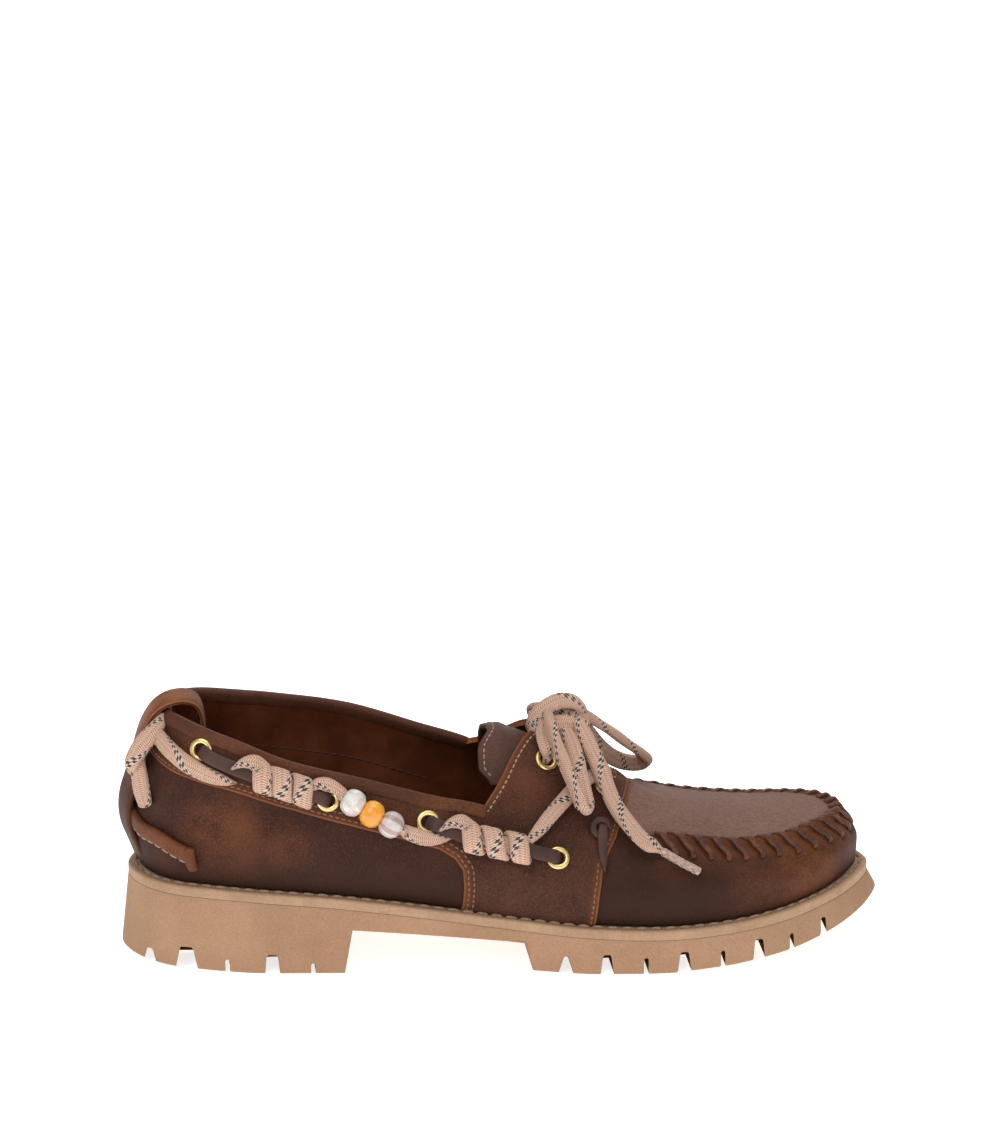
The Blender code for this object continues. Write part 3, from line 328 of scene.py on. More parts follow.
# ---- the form of the upper ----
class Form:
    """The outer face of one side of the upper, as a fine lattice over section t and girth w."""

    def __init__(self, side):
        self.side = side
        self.t = np.arange(0, T_END + T_STEP / 2, T_STEP)
        self.w = np.linspace(0, 3, round(3 / W_STEP) + 1)
        axis, out = self.fan()
        foot = self.base_reach(axis, out)
        at_foot = axis + out * foot[:, None]
        tag = "lat" if side == LATERAL else "med"
        read = {c: reading(SECTIONS, c, self.t, "t")
                for c in ("bulge", "belly", "rim_" + tag, "z_" + tag, "wall", "inner", "crown")}
        low = columns(foot, welt_top(at_foot[:, 0]) + GAP)[:, None]
        belly = columns(foot + read["bulge"], read["belly"])[:, None]
        rim = columns(read["rim_" + tag], read["z_" + tag])[:, None]
        crown = columns(0 * foot, read["crown"])[:, None]
        rise = columns(read["bulge"] * 1.9, (belly - low)[:, 0, 1])[:, None]
        lift = columns(0 * foot, (belly - low)[:, 0, 1])[:, None]
        reach = np.linalg.norm(rim - belly, axis=2, keepdims=True)
        span = np.linalg.norm(crown - rim, axis=2, keepdims=True)
        w = self.w[None, :, None]
        sheet = hermite(low, rise, belly, lift, w)
        sheet = np.where(w > 1, hermite(belly, reach * (0.0, 1.0), rim,
                                        reach * self.slope(read["wall"]), w - 1), sheet)
        sheet = np.where(w > 2, hermite(rim, span * self.slope(read["inner"]), crown,
                                        span * (-1.0, 0.0), w - 2), sheet)
        plan = axis[:, None] + out[:, None] * sheet[..., :1]
        self.points = np.concatenate([plan, sheet[..., 1:]], axis=2)
        up = np.gradient(self.points, axis=1)
        along = np.gradient(self.points, axis=0)
        normal = unit(np.cross(along, up) * -side)
        toe = self.t >= TOE_FAN - TOE_BLEND
        share = ease(self.w, 2.55, 2.9) * ease(self.t[toe], TOE_FAN - TOE_BLEND, TOE_FAN)[:, None]
        level = unit(normal[toe, LEVEL_ROW].mean(axis=0) * (1, 0, 1))
        normal[toe] = unit(normal[toe] * (1 - share[..., None]) + level * share[..., None])
        self.normals = normal
        step = np.linalg.norm(np.diff(self.points, axis=1), axis=2)
        self.girths = np.concatenate([np.zeros((len(self.t), 1)), np.cumsum(step, axis=1)], axis=1)
        rim = round(2 / W_STEP)
        self.girths -= self.girths[:, rim:rim + 1]

    @staticmethod
    def slope(degrees):
        turn = np.radians(degrees)
        return columns(-np.cos(turn), np.sin(turn))[:, None]

    def fan(self):
        """Axis point and outward direction of every section in the plan."""
        t = self.t
        turn = np.radians(np.where(t < HEEL_FAN, 90 * (HEEL_FAN - t) / FAN_SPAN,
                                   np.where(t > TOE_FAN, 90 * (TOE_FAN - t) / FAN_SPAN, 0)))
        axis = columns(np.clip(t, HEEL_FAN, TOE_FAN), 0 * t)
        return axis, columns(-np.sin(turn), self.side * np.cos(turn))

    def base_reach(self, axis, out):
        """Distance from the axis point of each section out to the foot of the upper."""
        half = half_outline(FEATHER_INSET, self.side)
        found = []
        for a, o in zip(axis, out):
            off, along = (half - a) @ (-o[1], o[0]), (half - a) @ o
            ahead = along > 0
            order = np.argsort(off[ahead])
            found.append(np.interp(0.0, off[ahead][order], along[ahead][order]))
        return np.array(found)

    def read(self, sheet, t, w):
        """Value of a lattice sheet at places t and w."""
        t, w = np.broadcast_arrays(np.asarray(t, float), np.asarray(w, float))
        a = np.clip(t / T_STEP, 0, len(self.t) - 1.001)
        b = np.clip(w / W_STEP, 0, len(self.w) - 1.001)
        i, j = a.astype(int), b.astype(int)
        p, q = a - i, b - j
        if sheet.ndim == 3:
            p, q = p[..., None], q[..., None]
        return ((1 - p) * (1 - q) * sheet[i, j] + p * (1 - q) * sheet[i + 1, j]
                + (1 - p) * q * sheet[i, j + 1] + p * q * sheet[i + 1, j + 1])

    def normal(self, t, w):
        return unit(self.read(self.normals, t, w))

    def at(self, t, w, lift=0.0):
        lift = np.asarray(lift, float)
        lift = lift[..., None] if lift.ndim else lift
        return self.read(self.points, t, w) + self.normal(t, w) * lift

    def girth(self, t, w):
        """Way up the leather from the rim, in millimetres; below the rim it is negative."""
        return self.read(self.girths, t, w)

    def search(self, sheet, t, value, low, high):
        t, value = np.broadcast_arrays(np.asarray(t, float), np.asarray(value, float))
        low, high = np.zeros(t.shape) + low, np.zeros(t.shape) + high
        for _ in range(HALVINGS):
            mid = (low + high) / 2
            under = self.read(sheet, t, mid) < value
            low, high = np.where(under, mid, low), np.where(under, high, mid)
        return (low + high) / 2

    def w_at_height(self, t, z):
        limit = np.where(np.asarray(t, float) <= CORNER, 2.0, 3.0)
        return self.search(self.points[..., 2], t, z, 0.0, limit)

    def w_at_girth(self, t, g):
        return self.search(self.girths, t, g, 0.0, 3.0)

    def top(self, t):
        """Where section t ends: the collar, the edge of the facing, or the crown."""
        t = np.asarray(t, float)
        half = reading(THROAT, SIDES[self.side], t)
        inner = self.search(-np.abs(self.points[..., 1]), t, -half, 2.0, 3.0)
        return np.where(t <= CORNER, 2.0, np.where(t >= THROAT_END, 3.0, inner))

    def wall(self, t, z, lift=0.0):
        """Point and normal at section t and height z."""
        w = self.w_at_height(t, z)
        return self.at(t, w, lift), self.normal(t, w)


FORM = {side: Form(side) for side in SIDES}
for column in (0, -1):          # both sides share the middle of the heel and of the toe
    shared = unit(FORM[LATERAL].normals[column] + FORM[MEDIAL].normals[column])
    FORM[LATERAL].normals[column] = FORM[MEDIAL].normals[column] = shared


# ---- relief of the leather: soft folds, the moccasin seam and its puckers ----
Fold = namedtuple("Fold", "places width depth")      # places are sections and girths
FOLDS = {
    LATERAL: [
        Fold([(186, -1.5), (196, -5.5), (207, -10.5)], 3.4, 0.9),
        Fold([(199, -1), (205, -6), (216, -12)], 3, 0.7),
        Fold([(196, -9), (206, -14.5), (222, -17.5)], 5, -0.9),
        Fold([(183, -12), (196, -17), (212, -20)], 5.5, 0.8),
        Fold([(146, -6), (152, -14), (155, -24)], 5, 0.7),
        Fold([(168, -3), (172, -12), (171, -22)], 5.5, 0.6),
        Fold([(96, -22), (112, -24), (124, -28)], 6, 0.7),
        Fold([(30, -30), (36, -42), (40, -54)], 6.5, 0.8),
        Fold([(48, -28), (60, -34), (74, -38)], 7.5, -0.9),
        Fold([(8, -34), (16, -40), (26, -50)], 4.5, 0.8),
        Fold([(236, -14), (248, -19), (262, -21)], 6, -0.7),
        Fold([(200, 12), (204, 22), (206, 32)], 5.5, 0.7),
        Fold([(212, 8), (216, 18), (217, 28)], 6.5, -0.5),
    ],
    MEDIAL: [
        Fold([(198, -1), (206, -7), (216, -13)], 3.6, 0.9),
        Fold([(186, -8), (200, -14), (216, -18)], 5.5, 0.8),
        Fold([(150, -6), (155, -16), (158, -28)], 5.5, 0.8),
        Fold([(120, -18), (138, -22), (152, -30)], 6, 0.7),
        Fold([(60, -30), (72, -38), (88, -42)], 7.5, -0.8),
        Fold([(28, -34), (34, -46), (38, -56)], 6.5, 0.8),
        Fold([(230, -12), (244, -17), (258, -19)], 6, -0.7),
        Fold([(199, 12), (203, 22), (206, 32)], 5, 0.6),
    ],
}
SEAM_START = 203.0         # the moccasin seam runs from here round the toe to the other side
SEAM_RIDGE, SEAM_SPREAD = 1.0, 1.6
STITCH_PITCH = {LATERAL: 7.3, MEDIAL: 6.7}
HOLE_AHEAD, HOLE_DROP = 4.4, 8.6      # lower hole of a whip stitch from where it crosses the rim
PLUG_BACK, PLUG_RISE = 3.0, 3.5       # its upper hole, in the plug


def seam_line(side):
    """Sections along the rim from the start of the seam to the toe, and the way gone at each."""
    t = np.arange(SEAM_START, T_END + 0.1, T_STEP)
    return t, travelled(FORM[side].at(t, 2.0))


def seam_places(side):
    """Sections at which the whip stitches cross the rim; the toe lies midway between two."""
    t, gone = seam_line(side)
    last = gone[-1] - STITCH_PITCH[side] / 2
    near = np.linspace(1.0, last, int(round(last / STITCH_PITCH[side])) + 1)
    return np.interp(near, gone, t)


def relief(side, t, w):
    """How far the leather stands out or sinks in at places of the form, in millimetres."""
    form = FORM[side]
    place, girth = form.at(t, w), form.girth(t, w)
    t = np.broadcast_to(np.asarray(t, float), girth.shape)
    sunk = np.zeros(girth.shape)
    for fold in FOLDS[side]:
        line = spline(fold.places, 6)
        spots = form.at(line[:, 0], form.w_at_girth(line[:, 0], line[:, 1]))
        fade = np.sin(np.linspace(0.25, math.pi - 0.25, len(spots)))
        deepest = np.zeros(girth.shape)
        for spot, strength in zip(spots, fade):
            away = np.sum((place - spot) ** 2, axis=-1)
            deepest = np.maximum(deepest, strength * np.exp(-away / fold.width ** 2))
        sunk += deepest * fold.depth
    slow = (np.sin(place[..., 0] / 9.0 + 1.3) * np.sin(place[..., 2] / 7.0 + 0.4)
            + np.sin(place[..., 0] / 15.0 - place[..., 2] / 11.0))
    return 0.16 * slow - sunk


def seam_ridge(side, t, girth):
    """Height of the seam above the leather; it is flatter on the medial side."""
    flatter = (side == MEDIAL) * 0.75 * ease(-np.asarray(t, float), -T_END + 6, -T_END + 36)
    return SEAM_RIDGE * (1 - flatter) * np.exp(-(girth / SEAM_SPREAD) ** 4)


def seam_lean(side, t):
    """Share of the lean of the whip stitches; the medial ones stand straight at the toe."""
    return ease(-np.asarray(t, float), 1 - T_END, 24 - T_END) if side == MEDIAL else 1.0


def seam_relief(side, t, w):
    """The raised seam of the plug, its grooves, and the leather gathered between stitches."""
    form = FORM[side]
    girth = form.girth(t, w)
    t = np.broadcast_to(np.asarray(t, float), girth.shape)
    here = ease(t, SEAM_START - 5, SEAM_START + 3)
    ridge = seam_ridge(side, t, girth)
    groove = -0.55 * np.exp(-((girth - 3.0) / 0.9) ** 2)
    crossings = seam_places(side)
    count = np.arange(len(crossings))
    ends = np.append(crossings, T_END)
    lean = np.interp(t, *seam_rate(side)) * np.clip(-girth / HOLE_DROP, -0.6, 1.1)
    lean *= HOLE_AHEAD * seam_lean(side, t)
    between = np.interp(t - lean, ends, np.append(count, count[-1] + 0.5), left=0)
    gather = np.cos(2 * math.pi * between)
    wall_side = np.exp(-((girth + 5.2) / 3.4) ** 2)
    hole = np.exp(-((girth + HOLE_DROP + 0.4) / 1.3) ** 2) * np.clip(gather, 0, 1) ** 3
    return here * (ridge + groove - 0.5 * gather * wall_side - 1.5 * hole - 0.2 * gather
                   * np.exp(-(girth / 2.2) ** 2))


def seam_rate(side):
    """Sections along the seam, and how much section one millimetre of rim takes at each."""
    t, gone = seam_line(side)
    return t, np.gradient(t, gone)


# ---- making meshes ----
def alone(obj, *others):
    """Only obj, which is active, and the others are selected."""
    bpy.ops.object.select_all(action="DESELECT")
    for piece in (obj, *others):
        piece.select_set(True)
    bpy.context.view_layer.objects.active = obj


def primitive(kind, **settings):
    """A new mesh primitive, with nothing else selected."""
    bpy.ops.object.select_all(action="DESELECT")
    getattr(bpy.ops.mesh, f"primitive_{kind}_add")(**settings)
    return bpy.context.object


def shade(obj, degrees=None):
    """Shades a piece smooth; where degrees are given, steeper edges stay sharp."""
    alone(obj)
    if degrees is None:
        bpy.ops.object.shade_smooth()
    else:
        bpy.ops.object.shade_smooth_by_angle(angle=math.radians(degrees))
    return obj


def edit(obj, steps):
    """Runs steps with all of obj selected in edit mode."""
    alone(obj)
    bpy.ops.object.mode_set(mode="EDIT")
    bpy.ops.mesh.select_all(action="SELECT")
    steps()
    bpy.ops.object.mode_set(mode="OBJECT")


def positions(obj):
    flat = np.empty(len(obj.data.vertices) * 3, np.float32)
    obj.data.vertices.foreach_get("co", flat)
    return flat.reshape(-1, 3).astype(float)


def place_vertices(obj, points):
    obj.data.vertices.foreach_set("co", np.asarray(points, np.float32).ravel())
    obj.data.update()


def chart(obj, values):
    """Own UV map of a piece, from two numbers at each vertex."""
    layer = obj.data.uv_layers.active or obj.data.uv_layers.new(name="UVMap")
    corner = np.empty(len(obj.data.loops), np.int32)
    obj.data.loops.foreach_get("vertex_index", corner)
    layer.data.foreach_set("uv", np.asarray(values, np.float32)[corner].ravel())


def sheet(name, rows, cols, place):
    """A flat grid laid on a surface: place gives points and chart for its rows and columns."""
    obj = primitive("grid", x_subdivisions=rows - 1, y_subdivisions=cols - 1, size=1.0)
    obj.name = obj.data.name = name
    flat = positions(obj)
    i = np.rint((flat[:, 0] + 0.5) * (rows - 1)).astype(int)
    j = np.rint((flat[:, 1] + 0.5) * (cols - 1)).astype(int)
    points, uv = place(i, j)
    chart(obj, uv)
    place_vertices(obj, world(points))
    return obj


def weld(obj, inside_out=False, closed=True):
    """Closes the seams and poles of a piece, and turns the faces of a closed one outwards."""
    def steps():
        bpy.ops.mesh.remove_doubles(threshold=2e-6)
        if closed:
            bpy.ops.mesh.normals_make_consistent(inside=inside_out)
    edit(obj, steps)
    return shade(obj)


def apply(obj, kind, **settings):
    """Adds a modifier with its settings and applies it."""
    alone(obj)
    made = obj.modifiers.new(kind.title(), kind)
    for key, value in settings.items():
        setattr(made, key, value)
    bpy.ops.object.modifier_apply(modifier=made.name)
    return obj


def thicken(obj, thick, *kinds):
    """Gives a sheet its wall, with a finish for its face, its back and its cut edge."""
    finish(obj, *(finished(kind) for kind in kinds))
    return apply(obj, "SOLIDIFY", thickness=thick * MM, offset=-1, material_offset=1,
                 material_offset_rim=2)


def join(name, pieces):
    """One piece from several."""
    alone(*pieces)
    bpy.ops.object.join()
    pieces[0].name = pieces[0].data.name = name
    return pieces[0]


def facing_out(obj, side_of_face):
    """Turns the faces over if they look away from the direction given at their centres."""
    centres = np.array([p.center for p in obj.data.polygons])
    normals = np.array([p.normal for p in obj.data.polygons])
    if np.sum(normals * side_of_face(centres)) < 0:
        edit(obj, bpy.ops.mesh.flip_normals)


def finish(obj, *materials):
    slots = obj.data.materials
    for k, material in enumerate(materials):
        if k < len(slots):
            slots[k] = material
        else:
            slots.append(material)
    return obj


def hand_over(obj, slot, *nodes):
    """The piece rides on the shoe, belongs to a slot and stands for its CAD nodes."""
    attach(obj, "root")
    if nodes:
        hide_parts(*nodes)
    return obj


def deliver(obj, kind, slot, *nodes):
    """Gives a piece one finish all over, and hands it over."""
    return hand_over(finish(obj, finished(kind)), slot, *nodes)


def scatter(name, template, places):
    """Copies of one small mesh at many (point, ahead, up, scale), joined into one piece."""
    source = positions(template)
    count, copies = len(source), []
    for point, ahead, up, scale in places:
        ahead = unit(np.asarray(ahead, float))
        across = unit(np.cross(up, ahead))
        turn = columns(ahead, across, np.cross(ahead, across))
        copies.append(world(point) + (source * scale * MM) @ turn.T)
    polygons = [tuple(p.vertices) for p in template.data.polygons]
    faces = [tuple(v + k * count for v in face) for k in range(len(copies)) for face in polygons]
    mesh = bpy.data.meshes.new(name)
    mesh.from_pydata(np.concatenate(copies).tolist(), [], faces)
    mesh.update()
    obj = bpy.data.objects.new(name, mesh)
    bpy.context.scene.collection.objects.link(obj)
    bpy.data.objects.remove(template)
    return shade(obj)


def thread_template():
    """One stitch lying along X: a stretched ball, flattened underneath."""
    ball = primitive("uv_sphere", segments=8, ring_count=6, radius=0.5)
    points = positions(ball)
    points[:, [0, 2]] = points[:, [2, 0]]
    points[:, 1] *= -1
    points[:, 0] = np.sign(points[:, 0]) * np.abs(points[:, 0] * 2) ** 0.8 / 2
    points[:, 2] = np.where(points[:, 2] < 0, points[:, 2] * 0.5, points[:, 2])
    place_vertices(ball, points)
    return ball


def rounded(turn):
    """Across and up from the middle of a section one wide and one thick with round corners."""
    return [np.sign(part) * np.abs(part) ** 0.62 / 2 for part in (np.cos(turn), np.sin(turn))]


def carried(path, first):
    """Directions across a path, carried along it without twist from a first one."""
    ahead = heading(path)
    ups = [unit(np.asarray(first, float) - ahead[0] * np.dot(first, ahead[0]))]
    for step in ahead[1:]:
        ups.append(unit(ups[-1] - step * np.dot(ups[-1], step)))
    return np.array(ups)


def ribbon(name, path, ups, widths, thicks, sides=16, around=LACE_ROUND, tip=1.0):
    """Flat strip along a path, its flat side along ups, closed by a round tip at both ends."""
    widths, thicks = (np.broadcast_to(sizes, len(path)) for sizes in (widths, thicks))
    ahead = heading(path)
    across = unit(np.cross(ahead, ups))
    up = np.cross(across, ahead)
    along = travelled(path)
    angles = np.radians([0, 25, 50, 72])
    rows = []
    for k in angles:
        rows.append((0, -tip * thicks[0] / 2 * math.cos(k), max(math.sin(k), 1e-6)))
    rows += [(i, 0.0, 1.0) for i in range(len(path))]
    for k in angles[::-1]:
        rows.append((len(path) - 1, tip * thicks[-1] / 2 * math.cos(k), max(math.sin(k), 1e-6)))
    index = np.array([r[0] for r in rows])
    shift, shrink = np.array([r[1] for r in rows]), np.array([r[2] for r in rows])

    def place(i, j):
        turn = -math.pi / 2 + 2 * math.pi * j / sides
        a, b = rounded(turn)
        k = index[i]
        a, b = a * widths[k] * shrink[i], b * thicks[k] * shrink[i]
        points = (path[k] + ahead[k] * shift[i][:, None]
                  + across[k] * a[:, None] + up[k] * b[:, None])
        points[shrink[i] < 1e-5] = (path[k] + ahead[k] * shift[i][:, None])[shrink[i] < 1e-5]
        return points, columns(along[k] + shift[i], around * j / sides)

    return weld(sheet(name, len(rows), sides + 1, place))


def laid(side, rows):
    """Stops (point, normal, width, thickness) on the wall of one side."""
    stops = []
    for t, z, lift, *sizes in rows:
        point, normal = FORM[side].wall(t, z, lift)
        stops.append([*point, *normal, *sizes])
    return stops


def freed(side, rows):
    """Stops clear of the wall, from rows that are written for the lateral side."""
    flip = 1 if side == LATERAL else -1
    stops = []
    for x, y, z, turn, lean, *sizes in rows:
        turn, lean = math.radians(turn * flip), math.radians(lean)
        stops.append([x, y * flip, z, math.cos(lean) * math.cos(turn),
                      math.cos(lean) * math.sin(turn), math.sin(lean), *sizes])
    return stops


def lace_along(name, stops, per_span=7, sides=16, around=LACE_ROUND, tip=1.0):
    """Flat lace through stops, smoothly."""
    line = spline(stops, per_span)
    return ribbon(name, line[:, :3], unit(line[:, 3:6]), *line[:, 6:8].T, sides, around, tip)


# ---- shader maths ----
def worked(operation):
    """A method of Value that adds one Math node."""
    return lambda self, *others: self.math(operation, *others)


class Value:
    """A number from a shader socket; an expression on values adds its Math nodes."""

    __add__ = __radd__ = worked("ADD")
    __sub__ = worked("SUBTRACT")
    __mul__ = __rmul__ = worked("MULTIPLY")
    __truediv__ = worked("DIVIDE")
    __mod__ = worked("FLOORED_MODULO")
    __abs__ = worked("ABSOLUTE")
    over = worked("GREATER_THAN")
    highest = worked("MAXIMUM")
    sine = worked("SINE")
    floor = worked("FLOOR")

    def __init__(self, finish_, socket):
        self.finish, self.socket = finish_, socket

    def math(self, operation, *others):
        return self.finish.value("ShaderNodeMath", {"operation": operation},
                                 dict(enumerate((self, *others))))

    def __rsub__(self, other):
        return (self * -1) + other

    def soft(self, low, high):
        """Soft step from 0 at low to 1 at high."""
        return self.finish.value("ShaderNodeMapRange", {"interpolation_type": "SMOOTHSTEP"},
                                 {"Value": self, "From Min": low, "From Max": high})


def socket_name(key):
    return key.replace("_", " ").title().replace("Ior", "IOR")


class Finish:
    """A material and the one way its nodes are added."""

    MIX_FACTOR, MIX_A, MIX_B, MIX_OUT = 0, 6, 7, 2      # the colour sockets of a Mix node

    def __init__(self, name, **uniform):
        self.material = bpy.data.materials.new(name)
        self.material.use_nodes = True
        self.tree = self.material.node_tree
        self.shader = self.tree.nodes["Principled BSDF"]
        for key, value in uniform.items():
            self.shader.inputs[socket_name(key)].default_value = value

    def node(self, kind, settings=None, inputs=None):
        made = self.tree.nodes.new(kind)
        for key, value in (settings or {}).items():
            setattr(made, key, value)
        for key, value in (inputs or {}).items():
            self.feed(made.inputs[key], value)
        return made

    def value(self, kind, settings, inputs, output=0):
        """The number that a new node gives."""
        return Value(self, self.node(kind, settings, inputs).outputs[output])

    def feed(self, socket, value):
        if isinstance(value, Value):
            value = value.socket
        if isinstance(value, bpy.types.NodeSocket):
            self.tree.links.new(value, socket)
        elif socket.type == "RGBA":
            socket.default_value = (*value, 1.0)
        else:
            socket.default_value = value

    def place(self):
        """Position on the object, in metres."""
        return self.node("ShaderNodeTexCoord").outputs["Object"]

    def parts(self, vector):
        split = self.node("ShaderNodeSeparateXYZ", None, {0: vector})
        return [Value(self, part) for part in split.outputs]

    def own_chart(self):
        """Both numbers of the piece's own UV map."""
        return self.parts(self.node("ShaderNodeTexCoord").outputs["UV"])[:2]

    def height(self):
        return self.parts(self.place())[2]

    def stretched(self, scale):
        """Position with each axis scaled, for a grain that runs one way."""
        return self.node("ShaderNodeVectorMath", {"operation": "MULTIPLY"},
                         {0: self.place(), 1: scale}).outputs[0]

    def noise(self, scale, detail=3.0, rough=0.55, vector=None, distortion=0.0):
        return self.value("ShaderNodeTexNoise", None, {
            "Vector": vector or self.place(), "Scale": scale, "Detail": detail,
            "Roughness": rough, "Distortion": distortion})

    def pores(self, scale):
        return self.value("ShaderNodeTexVoronoi", None,
                          {"Vector": self.place(), "Scale": scale}, "Distance")

    def near(self, patches):
        """1 inside soft patches of (x, y, z, radius, amount), in millimetres, 0 outside them."""
        total = None
        for x, y, z, radius, amount in patches:
            away = self.value("ShaderNodeVectorMath", {"operation": "DISTANCE"},
                              {0: self.place(), 1: tuple(world((x, y, z)))}, "Value")
            spot = (1 - away.soft(radius * 0.25 * MM, radius * MM)) * amount
            total = spot if total is None else total.highest(spot)
        return total

    def blend(self, factor, first, second):
        return self.node("ShaderNodeMix", {"data_type": "RGBA"}, {
            self.MIX_FACTOR: factor, self.MIX_A: first, self.MIX_B: second}).outputs[self.MIX_OUT]

    def bump(self, height, distance, strength):
        return self.node("ShaderNodeBump", None, {
            "Height": height, "Distance": distance, "Strength": strength}).outputs[0]

    def set(self, **links):
        for key, value in links.items():
            self.feed(self.shader.inputs[socket_name(key)], value)
        return self.material

    def dress(self, base, rough, height, depth, strength):
        return self.set(base_color=base, roughness=rough,
                        normal=self.bump(height, depth, strength))


def dimmed(colour_, share):
    return tuple(part * share for part in colour_)


# ---- finishes ----
# where the leathers are rubbed: x, y, z, radius and amount
RUST_PATCHES = [
    (38, -32, 53, 24, 0.8), (62, -36, 50, 14, 0.5), (16, -24, 44, 12, 0.4),
    (262, -30, 37, 28, 1.1), (240, -40, 36, 20, 0.5), (276, -8, 40, 22, 0.6),
    (206, -44, 38, 12, 0.6), (222, -38, 43, 14, 0.55), (246, -32, 42, 13, 0.7),
    (262, 32, 38, 24, 0.7), (206, 44, 40, 16, 0.6), (70, 38, 56, 30, 0.5), (130, 40, 40, 16, 0.5),
    (200, 14, 58, 18, 0.3)]
SADDLE_PATCHES = [
    (30, -26, 80, 20, 0.6), (110, -38, 66, 26, 0.5), (150, -28, 66, 18, 0.4),
    (176, -20, 62, 14, 0.5), (110, 38, 66, 26, 0.5), (60, 34, 76, 20, 0.4)]
ROLLED_PATCHES = [
    (16, 0, 97, 22, 0.5), (60, -32, 84, 40, 0.4), (130, -36, 64, 26, 0.5), (16, -22, 50, 28, 0.6),
    (16, 22, 50, 28, 0.6)]
STRAP_PATCHES = [(16, 0, 97, 24, 0.8)]


def mottled(leather, dark, middle, rust, pale, patches):
    """Waxed leather: dark wax, rubbed rusty places, and a pale bloom in fine specks."""
    cloud = leather.noise(46.0, 4.0, 0.6)
    speck = leather.noise(420.0, 3.0, 0.65)
    smear = leather.noise(150.0, 4.0, 0.62, vector=leather.stretched((0.7, 1.0, 1.3)))
    nap = leather.noise(1500.0, 2.0, 0.7)
    base = leather.blend((cloud * 0.45 + smear * 0.25 + nap * 0.6).soft(0.42, 0.84), dark, middle)
    rubbed = leather.near(patches) * (cloud * 0.4 + smear * 0.3 + nap * 0.5).soft(0.36, 0.76)
    base = leather.blend(rubbed, base, rust)
    bloom = (speck * 0.4 + nap * 0.6).soft(0.5, 0.7) * 0.26
    return leather.blend(bloom, base, pale), nap, speck


def grained(leather, base, speck, rough, varied, strength=1.0):
    """Gives a leather its colour, its changing gloss and its grain."""
    grain = leather.pores(1500.0)
    fine = leather.noise(2600.0, 2.0, 0.6)
    dents = leather.noise(240.0, 3.0, 0.5)
    height = grain * 0.3 + fine * 0.35 + speck * 0.35 + dents * 0.5
    return leather.dress(base, rough + speck * varied, height, 0.00022 * strength, 0.75)


def upper_finish(dyes):
    """The shell: quarters and vamp, with the plug's greyer bloom above the moccasin seam."""
    leather = Finish("waxed_upper", specular_ior_level=0.12)
    base, nap, speck = mottled(leather, dyes.leather_dark, dyes.leather,
                               dyes.leather_rust, dyes.leather_pale, RUST_PATCHES)
    t, girth = leather.own_chart()
    plug = girth.soft(1.4, 3.2) * t.soft(1.88, 1.94)
    # painted highlight: the up-facing plug gets a lighter, greyer colour for the light and sheen
    # on its nap, besides the nap's own bloom
    nap_and_top_light = leather.blend((nap * 0.7 + speck * 0.4).soft(0.34, 0.7), dyes.plug_dark, dyes.plug)
    base = leather.blend(plug, base, nap_and_top_light)
    crest = (1 - abs(girth + 3.5).soft(2.0, 6.5)) * t.soft(1.98, 2.06) * (0.35 + speck * 0.6)
    base = leather.blend(crest * 0.8, base, dyes.leather_rust)
    # painted shade: the leather darkens low on the quarters and along the foot of the upper, next
    # to the welt
    foot = (1 - leather.height().soft(0.03, 0.054)) * (1 - t.soft(2.1, 2.45)) * 0.75
    base = leather.blend(foot, base, dyes.leather_dark)
    return grained(leather, base, speck, 0.52, 0.22)


def saddle_finish(dyes):
    leather = Finish("waxed_saddle", specular_ior_level=0.12)
    base, _, speck = mottled(leather, dyes.leather_dark, dyes.saddle,
                             dyes.leather_rust, dyes.leather_pale, SADDLE_PATCHES)
    from_edge, _ = leather.own_chart()
    fibre = leather.noise(1100.0, 3.0, 0.7)
    raw = 1 - (from_edge + fibre * 0.8 - 0.4).soft(0.45, 1.05)
    base = leather.blend(raw * 0.8, base, dimmed(dyes.edge, 0.8))
    rubbed = (1 - from_edge.soft(1.2, 4.6)) * (0.25 + fibre * 0.6)
    base = leather.blend(rubbed * (1 - raw), base, dyes.leather_rust)
    return grained(leather, base, speck, 0.52, 0.22)


def lining_finish(dyes):
    lining = Finish("smooth_lining", specular_ior_level=0.08)
    cloud = lining.noise(60.0, 4.0)
    grain = lining.pores(1900.0)
    base = lining.blend(cloud.soft(0.3, 0.75), dyes.lining_dark, dyes.lining)
    return lining.dress(base, 0.4 + cloud * 0.2, grain * 0.3 + cloud, 0.0001, 0.5)


def edge_finish(dyes):
    """Cut edge of the leather: rough, rusty orange fibres."""
    edge = Finish("cut_edge", roughness=0.8, specular_ior_level=0.2)
    fibre = edge.noise(1300.0, 3.0, 0.7)
    cloud = edge.noise(160.0, 3.0, 0.6)
    base = edge.blend((fibre * 0.6 + cloud * 0.5).soft(0.38, 0.75), dyes.leather_rust, dyes.edge)
    return edge.set(base_color=base, normal=edge.bump(fibre, 0.00025, 0.9))


def rolled_finish(name, colour, rubbed, dyes):
    """Folded leather strips: collar, heel strap and heel band."""
    leather = Finish(name, specular_ior_level=0.15)
    base, _, speck = mottled(leather, dimmed(colour, 0.55), colour, rubbed,
                             dyes.leather_pale, ROLLED_PATCHES)
    return grained(leather, base, speck, 0.42, 0.25, 0.8)


